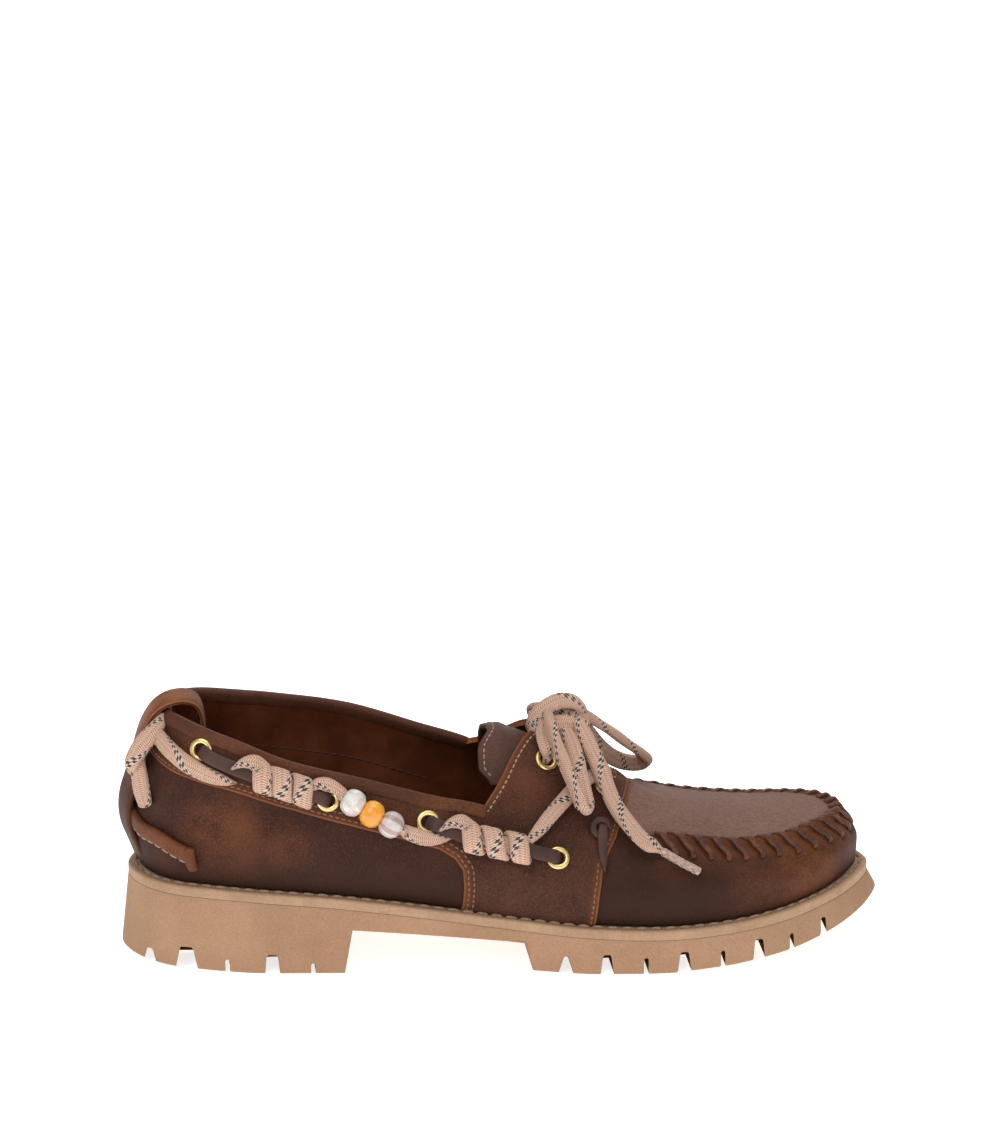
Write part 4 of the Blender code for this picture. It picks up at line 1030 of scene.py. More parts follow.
def strap_finish(dyes):
    """The heel strap, with its two cut edges burnished and a glue line between two layers."""
    leather = Finish("heel_strap", specular_ior_level=0.08)
    base, _, speck = mottled(leather, dyes.leather, dyes.strap, dyes.strap_rubbed,
                             dyes.leather_pale, STRAP_PATCHES)
    _, around = leather.own_chart()
    edge = abs((around * (2 * math.pi / LACE_ROUND)).sine())
    rim = edge.soft(0.8, 0.95)
    glue = edge.soft(0.985, 0.998)
    base = leather.blend(rim * (0.55 + speck * 0.4), base, dyes.strap_rubbed)
    base = leather.blend(glue * 0.8, base, dyes.leather_dark)
    dark = (1 - leather.height().soft(0.06, 0.084)) * 0.85
    base = leather.blend(dark, base, dyes.leather)
    return grained(leather, base, speck, 0.45, 0.2, 0.8)


def rubber_finish(dyes):
    rubber = Finish("crepe_rubber", specular_ior_level=0.25)
    cloud = rubber.noise(38.0, 4.0, 0.6)
    pits = rubber.noise(900.0, 2.0, 0.6)
    grain = rubber.noise(1300.0, 2.0, 0.7)
    base = rubber.blend((cloud * 0.45 + grain * 0.55).soft(0.32, 0.74), dyes.rubber_dark,
                        dyes.rubber)
    worn = (1 - rubber.height().soft(0.001, 0.009)) * cloud.soft(0.35, 0.7) * 0.5
    base = rubber.blend(worn, base, dyes.rubber_dark)
    return rubber.dress(base, 0.66 + pits * 0.2, pits * 0.7 + grain * 0.6, 0.00022, 0.5)


def welt_finish(dyes):
    """Pale leather with long fibres."""
    welt = Finish("leather_welt", specular_ior_level=0.25)
    cloud = welt.noise(70.0, 4.0, 0.6)
    fibre = welt.noise(900.0, 3.0, 0.7)
    base = welt.blend((cloud * 0.6 + fibre * 0.5).soft(0.35, 0.75), dyes.welt_dark, dyes.welt)
    return welt.dress(base, 0.55 + fibre * 0.2, fibre * 0.8 + cloud * 0.4, 0.0002, 0.5)


def lace_finish(dyes):
    """Flat woven lace: ribs along and across, and two slanting rows of tracer checks."""
    lace = Finish("woven_lace", specular_ior_level=0.2)
    along, around = lace.own_chart()
    rib = abs((around * (math.pi / 1.3)).sine())
    zig = abs(((around / 1.3) % 2.0) - 1.0)
    cross = abs(((along * (1 / 0.8) + zig * 0.8) * math.pi).sine())
    weave = rib * 0.3 + cross * 0.7
    spiral = (around + along * 0.52) % (LACE_ROUND / 2)
    in_row = 1 - spiral.over(2.1)
    row = (spiral / 1.05).floor()
    check = (((along + spiral * 0.3) / 1.1).floor() + row) % 2.0
    fuzz = lace.noise(900.0, 3.0, 0.7)
    # painted shade: the lace is darker where its weave sinks between the ribs
    base = lace.blend((weave * 0.8 + fuzz * 0.4).soft(0.15, 0.95), dyes.lace_dark, dyes.lace)
    tracer = lace.blend(check, dyes.tracer_dark, dyes.tracer_light)
    base = lace.blend(in_row * (0.55 + fuzz * 0.7), base, tracer)
    return lace.dress(base, 0.75 + fuzz * 0.2, weave + fuzz * 0.25 + in_row * 0.25, 0.00035, 0.9)


def thong_finish(dyes):
    thong = Finish("greased_thong", specular_ior_level=0.3)
    cloud = thong.noise(120.0, 3.0, 0.6)
    grain = thong.noise(1500.0, 2.0, 0.6)
    base = thong.blend(cloud.soft(0.35, 0.7), dyes.thong_dark, dyes.thong)
    return thong.dress(base, 0.4 + cloud * 0.25, grain * 0.5 + cloud, 0.0002, 0.5)


def whip_finish(dyes):
    """The lacing of the moccasin seam: narrow leather, rubbed rusty on its ridges."""
    whip = Finish("whip_lacing", specular_ior_level=0.3)
    cloud = whip.noise(170.0, 3.0, 0.6)
    speck = whip.noise(800.0, 2.0, 0.6)
    base = whip.blend((cloud * 0.7 + speck * 0.4).soft(0.38, 0.75), dyes.leather,
                      dyes.leather_rust)
    base = whip.blend(speck.soft(0.5, 0.8) * 0.4, base, dyes.leather_pale)
    return whip.dress(base, 0.45 + speck * 0.2, speck + cloud * 0.5, 0.00018, 0.6)


def thread_finish(name, colour):
    thread = Finish(name, roughness=0.7)
    twist = thread.noise(1600.0, 2.0, 0.6)
    base = thread.blend(twist.soft(0.3, 0.75), dimmed(colour, 0.55), colour)
    return thread.set(base_color=base, normal=thread.bump(twist, 0.00012, 0.7))


def brass_finish(dyes):
    brass = Finish("worn_brass", metallic=1.0, roughness=0.26)
    haze = brass.noise(700.0, 3.0, 0.6)
    base = brass.blend(haze.soft(0.35, 0.8) * 0.5, dyes.brass, dyes.brass_dark)
    return brass.set(base_color=base, roughness=0.2 + haze * 0.2)


def marble_finish(dyes):
    bead = Finish("marble_bead", roughness=0.32, subsurface_weight=0.15, coat_weight=0.5)
    veil = bead.noise(260.0, 4.0, 0.6, distortion=1.2)
    base = bead.blend(veil.soft(0.3, 0.75), dyes.marble_vein, dyes.marble)
    return bead.set(base_color=base, roughness=0.25 + veil * 0.15)


def amber_finish(dyes):
    bead = Finish("amber_bead", roughness=0.22, coat_weight=0.6)
    veil = bead.noise(230.0, 3.0, 0.6, distortion=0.8)
    base = bead.blend(veil.soft(0.3, 0.8), dyes.amber_deep, dyes.amber)
    return bead.set(base_color=base, roughness=0.18 + veil * 0.1)


def crystal_finish(dyes):
    """Clear bead with a pink cast, striped by the pale bands inside it."""
    bead = Finish("clear_bead", roughness=0.12, coat_weight=0.6, transmission_weight=0.35)
    _, around = bead.own_chart()
    # painted highlights: pale stripes round the bead over its pink
    highlight_stripes = ((around * 6.0).sine() * 0.5 + 0.5).soft(0.18, 0.5)
    veil = bead.noise(300.0, 3.0, 0.6)
    base = bead.blend(highlight_stripes * (0.5 + veil * 0.6), dyes.crystal_shade, dyes.crystal)
    return bead.set(base_color=base, roughness=0.1 + veil * 0.1)


def floor_finish(dyes):
    floor = Finish("pale_floor", roughness=0.9, specular_ior_level=0.0, emission_strength=0.75,
                   emission_color=(1.0, 1.0, 1.0, 1.0))
    cloud = floor.noise(2.0, 2.0)
    base = floor.blend(cloud, dyes.floor, dimmed(dyes.floor, 0.995))
    return floor.set(base_color=base)


def aglet_finish(dyes):
    """Clear sleeve: the end of the lace shows through it, pressed flat."""
    aglet = Finish("clear_aglet", coat_weight=0.8, coat_roughness=0.15)
    along, around = aglet.own_chart()
    check = ((along / 1.3).floor() + (around / 1.6).floor()) % 2.0
    row = 1 - abs(around % (LACE_ROUND / 2) - LACE_ROUND / 4).over(1.6)
    cloud = aglet.noise(700.0, 3.0, 0.6)
    base = aglet.blend(cloud.soft(0.3, 0.7), dyes.lace_dark, dyes.aglet)
    base = aglet.blend(row * check * 0.7, base, dyes.tracer_dark)
    return aglet.set(base_color=base, roughness=0.25 + cloud * 0.2)


# ---- sizes and colours that a user would change ----
def colour(name, description, *default):
    return bpy.props.FloatVectorProperty(name=name, description=description, default=default,
                                         size=3, min=0.0, max=1.0, subtype="COLOR")


def length(name, description, default):
    return bpy.props.FloatProperty(name=name, description=description, default=default,
                                   min=0.0, unit="LENGTH")


class LoaferColours(bpy.types.PropertyGroup):
    leather: colour("Leather", "Brown of the vamp and quarters", 0.06, 0.022, 0.0125)
    leather_dark: colour("Dark wax", "Darkest wax in the leather", 0.032, 0.012, 0.008)
    leather_rust: colour("Rubbed leather", "Rusty brown where it is rubbed", 0.15, 0.048, 0.018)
    leather_pale: colour("Bloom", "Pale bloom of wax on the leather", 0.16, 0.072, 0.046)
    saddle: colour("Saddle", "Brown of the saddle over the quarters", 0.086, 0.033, 0.019)
    # the plug colours hold a painted highlight of the up-facing plug as well as its greyer nap
    plug: colour("Plug", "Greyer brown of the moccasin plug", 0.245, 0.132, 0.098)
    plug_dark: colour("Dark plug", "Darker wax in the plug", 0.13, 0.062, 0.044)
    lining: colour("Lining", "Dark brown lining", 0.136, 0.038, 0.014)
    lining_dark: colour("Dark lining", "Darkest part of the lining", 0.068, 0.017, 0.006)
    edge: colour("Cut edge", "Orange fibres of a cut edge", 0.29, 0.098, 0.034)
    rolled: colour("Rolled leather", "Collar and heel band", 0.1, 0.034, 0.017)
    rolled_rubbed: colour("Rubbed roll", "Where the rolled leather is rubbed", 0.24, 0.08, 0.032)
    strap: colour("Heel strap", "Face of the heel strap", 0.165, 0.055, 0.027)
    strap_rubbed: colour("Strap edge", "Edges of the heel strap", 0.33, 0.12, 0.045)
    tongue: colour("Tongue", "Brown of the tongue", 0.112, 0.052, 0.036)
    rubber: colour("Rubber", "Tan rubber of the sole", 0.45, 0.265, 0.158)
    rubber_dark: colour("Dark rubber", "Soiled rubber", 0.33, 0.188, 0.108)
    welt: colour("Welt", "Pale leather of the welt", 0.465, 0.298, 0.188)
    welt_dark: colour("Dark welt", "Darker fibres of the welt", 0.345, 0.205, 0.122)
    lace: colour("Lace", "Ribs of the woven lace", 0.69, 0.445, 0.33)
    # lace_dark: painted shade between the lace's ribs; in the aglets it is the lace's own darker
    # colour
    lace_dark: colour("Lace shade", "Between the ribs of the lace", 0.275, 0.16, 0.108)
    tracer_dark: colour("Dark tracer", "Dark checks in the lace", 0.035, 0.022, 0.02)
    tracer_light: colour("Light tracer", "Light checks in the lace", 0.64, 0.52, 0.44)
    thong: colour("Thong", "Dark leather thong", 0.085, 0.034, 0.025)
    thong_dark: colour("Thong shade", "Darkest part of the thong", 0.05, 0.024, 0.019)
    brass: colour("Brass", "Brass of the eyelets", 0.9, 0.69, 0.31)
    brass_dark: colour("Worn brass", "Tarnish on the eyelets", 0.42, 0.27, 0.1)
    marble: colour("Marble bead", "Pearly bead", 0.86, 0.82, 0.78)
    marble_vein: colour("Marble vein", "Veins of the pearly bead", 0.56, 0.46, 0.4)
    amber: colour("Amber bead", "Yellow bead", 0.93, 0.45, 0.025)
    amber_deep: colour("Deep amber", "Deeper parts of the yellow bead", 0.78, 0.27, 0.02)
    # the pale bands of the clear bead are painted highlights
    crystal: colour("Clear bead", "Pale bands of the clear bead", 0.93, 0.85, 0.82)
    crystal_shade: colour("Clear bead shade", "Pink between the bands", 0.6, 0.42, 0.39)
    aglet: colour("Aglet", "Clear sleeves over the ends of the lace", 0.56, 0.38, 0.31)
    thread_light: colour("Light thread", "Stitches of the facing and tongue", 0.52, 0.36, 0.25)
    thread_rust: colour("Rusty thread", "Stitches of the saddle", 0.3, 0.135, 0.07)
    thread_welt: colour("Welt thread", "Stitches of the welt", 0.4, 0.255, 0.165)
    thread_dark: colour("Dark thread", "Stitches of the lining", 0.07, 0.026, 0.013)
    floor: colour("Floor", "Pale studio floor", 0.985, 0.985, 0.985)


class LoaferSizes(bpy.types.PropertyGroup):
    lace_width: length("Lace width", "Width of the flat lace", 0.0065)
    lace_thick: length("Lace thickness", "Thickness of the flat lace", 0.0038)
    whip_width: length("Whip lacing", "Width of the lacing of the moccasin seam", 0.0024)
    welt_pitch: length("Welt stitch", "Distance from stitch to stitch on the welt", 0.0055)
    seam_pitch: length("Seam stitch", "Distance from stitch to stitch on the saddle", 0.0024)
    camera_distance: length("Camera distance", "From the camera to the shoe", 1.8)
    floor_size: length("Floor size", "Width of the studio floor", 30.0)


def size(name):
    """A size from the panel, in millimetres."""
    return getattr(bpy.context.scene.loafer_sizes, name) / MM


BUILDERS = {build.__name__.removesuffix("_finish"): build for build in (
    upper_finish, saddle_finish, lining_finish, edge_finish, strap_finish, rubber_finish,
    welt_finish, lace_finish, thong_finish, whip_finish, brass_finish, marble_finish,
    amber_finish, crystal_finish, floor_finish, aglet_finish)}
BUILDERS |= {
    "rolled": lambda c: rolled_finish("rolled_leather", c.rolled, c.rolled_rubbed, c),
    "tongue": lambda c: rolled_finish("tongue_leather", c.tongue, c.leather_pale, c),
    "thread_light": lambda c: thread_finish("light_thread", c.thread_light),
    "thread_rust": lambda c: thread_finish("rusty_thread", c.thread_rust),
    "thread_welt": lambda c: thread_finish("welt_thread", c.thread_welt),
    "thread_dark": lambda c: thread_finish("dark_thread", c.thread_dark),
}
FINISHES = {}


def finished(kind):
    """The material of one finish, built when it is first asked for."""
    if kind not in FINISHES:
        FINISHES[kind] = BUILDERS[kind](bpy.context.scene.loafer_colours)
    return FINISHES[kind]


# ---- stage ----
AIM = Vector((-0.0006, 0.0014, 0.045))
TO_CAMERA = Vector((-0.0982, -0.9345, 0.342))     # 6 degrees to the heel side, 20 degrees up
LENS, SENSOR = 149.5, 36.0
SHIFT = (0.0005, 0.2255)
SKY_STRENGTH = 0.38
FLOOR_DROP = 0.05
LIGHTS = [            # name, place, size, power
    ("key_light", (-0.9, -1.3, 2.0), 1.6, 20.0),
    ("front_light", (0.6, -2.4, 0.9), 1.8, 9.0),
    ("top_light", (0.2, 0.2, 2.4), 2.0, 18.0),
    ("back_light", (0.4, 2.2, 1.2), 1.8, 12.0),
]


def light_stage():
    scene = bpy.context.scene
    scene.view_settings.view_transform = "Standard"
    camera = bpy.data.objects.new("camera", bpy.data.cameras.new("camera"))
    scene.collection.objects.link(camera)
    camera.location = AIM + TO_CAMERA.normalized() * size("camera_distance") * MM
    camera.rotation_euler = (-TO_CAMERA).to_track_quat("-Z", "Y").to_euler()
    camera.data.lens, camera.data.sensor_width = LENS, SENSOR
    camera.data.shift_x, camera.data.shift_y = SHIFT
    camera.data.clip_end = 50.0
    scene.camera = camera
    for name, place, width, power in LIGHTS:
        lamp = bpy.data.objects.new(name, bpy.data.lights.new(name, "AREA"))
        lamp.data.size, lamp.data.energy = width, power
        lamp.location = place
        lamp.rotation_euler = (AIM - Vector(place)).to_track_quat("-Z", "Y").to_euler()
        scene.collection.objects.link(lamp)
    world_ = bpy.data.worlds.new("studio")
    world_.use_nodes = True
    back = world_.node_tree.nodes["Background"]
    back.inputs["Color"].default_value = (1.0, 1.0, 1.0, 1.0)
    back.inputs["Strength"].default_value = SKY_STRENGTH
    scene.world = world_
    width = size("floor_size")
    floor = sheet("floor", 9, 9, lambda i, j: (
        columns(CENTRE_X + (i / 8 - 0.5) * width, CENTRE_Y + (j / 8 - 0.5) * width,
                0.0 * i - FLOOR_DROP), columns(i, j)))
    facing_out(floor, lambda c: np.array([0.0, 0.0, 1.0]))
    finish(floor, finished("floor"))


# ---- bow: free laces, their aglets and the knot ----
AGLET_LENGTH, AGLET_WIDTH, AGLET_THICK = 15.0, 3.4, 2.3
AGLET_CORE, AGLET_NECK = 2.6, 5       # width of the lace inside it, and length of its narrowing
PINCH, PINCH_REACH = 0.62, 9          # share of its width that a lace keeps at the knot


def pinched(gone):
    """Share of its width that a lace has at some way from the knot."""
    return PINCH + (1 - PINCH) * ease(gone, 0, PINCH_REACH)


def free_lace(name, stops, first_up, tapers):
    """A lace from the knot: a soft flat ribbon whose ends are drawn in by the knot or an aglet."""
    path = even(spline(stops, 12), 1.1)
    gone = travelled(path)
    left = gone[-1] - gone
    free = ease(left, AGLET_LENGTH, AGLET_LENGTH + AGLET_NECK)
    widths = size("lace_width") * pinched(gone)
    thicks = size("lace_thick") * (1 + 0.05 * np.sin(gone / 3.1))
    if tapers:
        widths *= 1 - (1 - AGLET_CORE / size("lace_width")) * (1 - free)
        thicks *= 0.45 + 0.55 * free
    else:
        widths *= pinched(left)
    obj = ribbon(name + "_skin", path, carried(path, first_up), widths, thicks, 20)
    return deliver(obj, "lace", "lace", name), path, float(gone[-1])


def aglet(name, path, first_up):
    """Clear sleeve over the end of a lace."""
    gone = travelled(path)
    ups = carried(path, first_up)
    kept = gone > gone[-1] - AGLET_LENGTH
    line = np.vstack([path[kept], path[-1:] + unit(path[-1:] - path[-3:-2]) * 1.0])
    obj = ribbon(name, line, np.vstack([ups[kept], ups[-1:]]), AGLET_WIDTH, AGLET_THICK, tip=0.5)
    return deliver(obj, "aglet", "lace")


def declare(pieces=()):
    size("lace_width") * MM


def tie_bow():
    for name, stops, up in (("lace_loop_lateral", LOOP_LATERAL, (-0.98, -0.1, 0.1)),
                            ("lace_loop_medial", LOOP_MEDIAL, (0.62, 0.2, 0.76))):
        obj, path, gone = free_lace(name, stops, up, False)
        declare()
    for name, stops, up in (("lace_end_lateral", END_LATERAL, (0.35, -0.75, 0.55)),
                            ("lace_end_medial", END_MEDIAL, (0.6, 0.35, 0.7))):
        obj, path, gone = free_lace(name, stops, up, True)
        declare([aglet(name.replace("lace_end", "aglet"), path, up)])
    tie_knot()


KNOT_MIDDLE = np.array([168.0, -3.0, 86.0])
KNOT = [             # middle line, width and thickness of each strand
    ([(157.5, -6, 83.5), (158.5, -8.5, 88.5), (162.5, -9.5, 93), (168, -8.5, 95.2),
      (173.5, -6.5, 94), (177.5, -3, 89.5), (178.5, 1, 84.5)], 6.8, 3.4),
    ([(160, 3, 84), (162, 1.5, 89.5), (166.5, -0.5, 92.8), (171.5, -1, 92.4),
      (175.5, 0.5, 88.5), (177, 3, 84)], 7.0, 3.2),
    ([(158, -9, 86), (162, -11.5, 86.5), (168, -12, 87.5), (174, -10, 86.5),
      (178, -6.5, 84.5)], 6.6, 3.4),
    ([(161, -3.5, 86.5), (166, -3.5, 88), (171, -3, 88), (175.5, -2, 86.5)], 12.0, 9.0),
]


def tie_knot():
    strands = []
    for stops, width, thick in KNOT:
        path = even(spline(stops, 10), 0.9)
        out = unit(path - KNOT_MIDDLE)
        squeeze = np.sin(np.linspace(0.35, math.pi - 0.35, len(path)))
        strands.append(ribbon("strand", path, out, width * (0.72 + 0.28 * squeeze), thick, 20))
    deliver(join("bow_knot_skin", strands), "lace", "lace", "bow_knot")


# ---- sole ----
def plan_ring(inset, steps=(), count=210):
    """Ring of the sole's plan: stations along the lateral side, then back along the other."""
    halves = {side: half_outline(inset, side) for side in SIDES}
    start, end = halves[LATERAL][0][0], halves[LATERAL][-1][0]
    xs = start + (end - start) * (1 - np.cos(np.linspace(0, math.pi, count))) / 2
    for low, high in steps:
        xs = np.array(sorted([x for x in xs if not low - 0.4 < x < high + 0.4] + [low, high]))
    inner = xs[1:-1]
    lateral = np.interp(inner, *halves[LATERAL].T)
    medial = np.interp(inner, *halves[MEDIAL].T)
    return np.vstack([[start, 0], columns(inner, lateral), [end, 0], columns(inner, medial)[::-1]])


def plate(name, ring, top, under, rows, flare=lambda x: 0.0 * x):
    """Plate over a ring of the plan. Rows run from the middle of the top round the edge to the
    middle of the underside: (share of the half width, inset, drop from top, rise from under)."""
    along = np.roll(ring, -1, axis=0) - np.roll(ring, 1, axis=0)
    inward = unit(columns(-along[:, 1], along[:, 0]))
    inward *= np.sign(np.sum(inward * ((CENTRE_X, 0) - ring), axis=1).mean())
    table = np.array(rows, float)
    count = len(ring)

    def place(i, j):
        share, inset, drop, rise = table[i].T
        k = j % count
        xy = ring[k] + inward[k] * inset[:, None] * columns(share, 1 + 0 * share)
        high, low = top(xy[:, 0]) - drop, under(ring[k][:, 0]) + rise
        z = np.where(np.isnan(drop), low, high)
        depth = np.clip((top(xy[:, 0]) - z) / (top(xy[:, 0]) - under(ring[k][:, 0])), 0, 1)
        out = flare(ring[k][:, 0]) * depth
        x = xy[:, 0] + (xy[:, 0] - CENTRE_X) * out / HALF_LENGTH
        y = xy[:, 1] * share * (1 + out / HALF_WIDTH)
        return columns(x, y, z), columns(j, i)

    return weld(sheet(name, len(rows), count + 1, place))


def edge_rows(round_top, round_foot, wall, shares=(0.0, 0.5, 0.9)):
    """Rows for plate(): flat top, rounded edge, wall, rounded edge and flat underside."""
    rows = [(s, round_top, 0.0, 0.0) for s in shares]
    turns = np.radians([0, 30, 60, 90])
    rows += [(1, round_top * (1 - math.sin(a)), round_top * (1 - math.cos(a)), 0) for a in turns]
    rows += [(1, 0, drop, 0) for drop in wall]
    rows += [(1, round_foot * (1 - math.sin(a)), math.nan, round_foot * (1 - math.cos(a)))
             for a in turns[::-1]]
    return rows + [(s, round_foot, math.nan, 0.0) for s in shares[::-1]]


def tread(x):
    """Height of the underside: heel block, waist and forepart."""
    waist = np.interp(x, *zip(*WAIST_UNDER))
    ground = np.interp(x, [r.x for r in SOLE], [r.tread for r in SOLE])
    return np.where((x > HEEL_BREAST_FOOT) & (x < FOREPART_STEP_FOOT), waist, ground)


def bar(profile, y0, y1):
    """Bar across the shoe with a profile of (x, z), to cut a groove with."""
    obj = primitive("circle", vertices=len(profile), radius=1.0, fill_type="NGON")
    place_vertices(obj, world([(x, y0, z) for x, z in profile]))

    def steps():
        bpy.ops.mesh.extrude_region_move(
            TRANSFORM_OT_translate={"value": (0.0, (y1 - y0) * MM, 0.0)})
        bpy.ops.mesh.select_all(action="SELECT")
        bpy.ops.mesh.normals_make_consistent(inside=False)
    edit(obj, steps)
    return obj


def notch_profile(x, mouth, root, low, depth):
    half = [(mouth / 2 + a, b) for a, b in ((1.0, -3.0), (0.15, 0.1), (-0.1, 0.8))]
    half += [(root / 2 + a, depth + b) for a, b in ((0.15, 0.0), (-0.1, 0.5), (-0.45, 0.8))]
    return [(x - a, low + b) for a, b in half] + [(x + a, low + b) for a, b in half[::-1]]


def make_sole():
    steps = ((HEEL_BREAST_FOOT - 0.01, HEEL_BREAST), (FOREPART_STEP, FOREPART_STEP_FOOT + 0.01))
    ring = plan_ring(0.0, steps, 260)
    body = plate("outsole_skin", ring, lambda x: welt_top(x) - WELT_THICK - GAP, tread,
                 edge_rows(0.18, 1.0, (1.2, 2.6, 4.2)), lambda x: reading(SOLE, "flare", x))
    bars = []
    for notch in NOTCHES:
        low = float(tread(np.array(notch.x)))
        profile = notch_profile(notch.x, notch.mouth, notch.root, low, notch.depth)
        for side in SIDES:
            edge = float(np.interp(notch.x, *half_outline(0.0, side).T))
            inner = edge - side * NOTCH_REACH
            if abs(inner) < 4 or inner * side < 0:
                inner = side * 4.0
            bars.append(bar(profile, min(inner, edge + side * 8), max(inner, edge + side * 8)))
    for start, end in CHANNELS:
        bars.append(bar([(start - 1, -3.0), (start + 0.6, CHANNEL_DEPTH - 0.4),
                         (start + 1.2, CHANNEL_DEPTH), (end - 1.2, CHANNEL_DEPTH),
                         (end - 0.6, CHANNEL_DEPTH - 0.4), (end + 1, -3.0)],
                        -CHANNEL_WIDTH / 2, CHANNEL_WIDTH / 2))
    cutter = join("grooves", bars)
    apply(body, "BOOLEAN", object=cutter, operation="DIFFERENCE", solver="EXACT")
    bpy.data.objects.remove(cutter)
    shade(body, 34)
    deliver(body, "rubber", "sole", "outsole")


WELT_SEAM = 2.8            # the welt stitch from its outer edge


def make_welt():
    rows = [(s, 3.4, 0.0, 0.0) for s in (0.0, 0.6)]
    rows += [(1, 3.6, 0.3, 0), (1, 3.0, 0.22, 0), (1, WELT_SEAM, 0.32, 0),
             (1, 2.0, 0.2, 0), (1, 1.6, 0.02, 0), (1, 0.9, 0.04, 0), (1, 0.4, 0.2, 0),
             (1, 0.1, 0.5, 0), (1, 0.0, 0.9, 0), (1, 0.0, 1.5, 0), (1, 0.0, 2.3, 0)]
    rows += [(1, 0.0, math.nan, 0.2), (1, 0.06, math.nan, 0.04), (1, 0.3, math.nan, 0.0),
             (0.5, 0.4, math.nan, 0.0), (0.0, 0.4, math.nan, 0.0)]
    body = plate("welt_skin", plan_ring(0.0), welt_top,
                 lambda x: welt_top(x) - WELT_THICK - GAP + 0.08, rows)
    deliver(body, "welt", "welt", "welt")
    ring = plan_ring(WELT_SEAM)
    closed = np.vstack([ring, ring[:1]])
    path = np.column_stack([closed, welt_top(closed[:, 0]) - 0.2])
    ups = np.tile((0.0, 0.0, 1.0), (len(path), 1))
    sew("welt_stitches", path, ups, size("welt_pitch"), 4.6, 1.25, 2.0, "thread_welt", "welt")


def sew(name, path, ups, pitch, long, wide, high, thread, slot):
    """A row of stitches along a path, with their outer side along ups."""
    gone = travelled(path)
    at = np.arange(pitch / 2, gone[-1], pitch)
    points, turned = after(at, gone, path), unit(after(at, gone, ups))
    ahead = unit(after(at + 0.4, gone, path) - after(at - 0.4, gone, path))
    places = [(p, a, u, (long, wide, high)) for p, a, u in zip(points, ahead, turned)]
    row = scatter(name, thread_template(), places)
    return deliver(row, thread, slot)


# ---- upper ----
HOLE = 3.1                 # leather cut away round the axis of an eyelet


def on_form(side, t, w, lift):
    """Points of the form; both sides agree along the heel, the toe and the crown."""
    own, other = FORM[side].at(t, w, lift), FORM[-side].at(t, w, lift)
    shared = (t < 0.01) | (t > T_END - 0.01) | ((w > 2.999) & (t > THROAT_END - 0.5))
    middle = (own + other) / 2 * (1, 0, 1)
    return np.where(shared[:, None], middle, own)


def agreed(side, t, w, depth):
    """Relief that fades into the other side's near the lines that both sides share."""
    share = np.exp(-(t / 6) ** 2) + np.exp(-((T_END - t) / 6) ** 2)
    share += np.exp(-((3 - w) / 0.08) ** 2) * (t > THROAT_END - 0.5)
    share = np.clip(share, 0, 1) / 2
    return depth(side, t, w) * (1 - share) + depth(-side, t, w) * share


def shell_place(side, t, s):
    """Girth w at share s of the way up the shell; a row of the grid follows the rim."""
    top = FORM[side].top(t)
    plain = s * top
    ruled = np.where(s < 0.6, 2 * s / 0.6, 2 + (top - 2) * (s - 0.6) / 0.4)
    k = ease(t, 150, 196)
    return plain * (1 - k) + ruled * k


def delete_faces(obj, chosen):
    alone(obj)
    bpy.ops.object.mode_set(mode="EDIT")
    bpy.ops.mesh.select_mode(type="FACE")
    bpy.ops.mesh.select_all(action="DESELECT")
    bpy.ops.object.mode_set(mode="OBJECT")
    obj.data.polygons.foreach_set("select", chosen)
    bpy.ops.object.mode_set(mode="EDIT")
    bpy.ops.mesh.delete(type="FACE")
    bpy.ops.object.mode_set(mode="OBJECT")


def eyelet_axes():
    """Name, middle on the wall and outward direction of each eyelet."""
    return [(f"eyelet_{name}_{SIDES[side]}", *FORM[side].wall(t, z))
            for name, t, z in EYELETS for side in SIDES]


def punch(obj):
    """Cuts the leather away inside every eyelet."""
    centres = np.array([p.center for p in obj.data.polygons])
    inside = np.zeros(len(centres), bool)
    for _, middle, normal in eyelet_axes():
        off = centres - world(middle)
        deep = off @ normal
        across = np.linalg.norm(off - deep[:, None] * normal, axis=1)
        inside |= (across < HOLE * MM) & (np.abs(deep) < 6 * MM)
    delete_faces(obj, inside)


def away_from_middle(centres):
    return centres - world((CENTRE_X, CENTRE_Y, 45.0))


def make_shell():
    t_half = np.concatenate([np.arange(0, THROAT_END, 1.6), np.linspace(THROAT_END, T_END, 112)])
    sides = np.array([LATERAL] * len(t_half) + [MEDIAL] * (len(t_half) - 1))
    ts = np.concatenate([t_half, t_half[-2::-1]])
    rows = 94

    def place(i, j):
        points, uv = np.zeros((len(i), 3)), np.zeros((len(i), 2))
        for side in SIDES:
            here = sides[i] == side
            t, s = ts[i][here], j[here] / (rows - 1)
            w = shell_place(side, t, s)
            depth = agreed(side, t, w, lambda a, b, c: relief(a, b, c) + seam_relief(a, b, c))
            points[here] = on_form(side, t, w, BASE_LIFT + depth)
            uv[here] = columns(t / 100, FORM[side].girth(t, w))
        return points, uv

    shell = weld(sheet("upper_skin", len(ts), rows, place), closed=False)
    facing_out(shell, away_from_middle)
    shade(thicken(shell, BASE_THICK, "upper", "lining", "edge"), 50)
    hand_over(shell, "upper", "upper")


INSOLE_INSET, INSOLE_THICK = 2.3, 3.0      # from the foot of the upper


def make_insole():
    ring = plan_ring(FEATHER_INSET + INSOLE_INSET, (), 120)
    body = plate("insole_skin", ring, lambda x: welt_top(x) + GAP + INSOLE_THICK,
                 lambda x: welt_top(x) + GAP, edge_rows(1.2, 0.2, (1.6, 2.2), (0.0, 0.4, 0.8)))
    deliver(body, "lining", "lining", "insole")


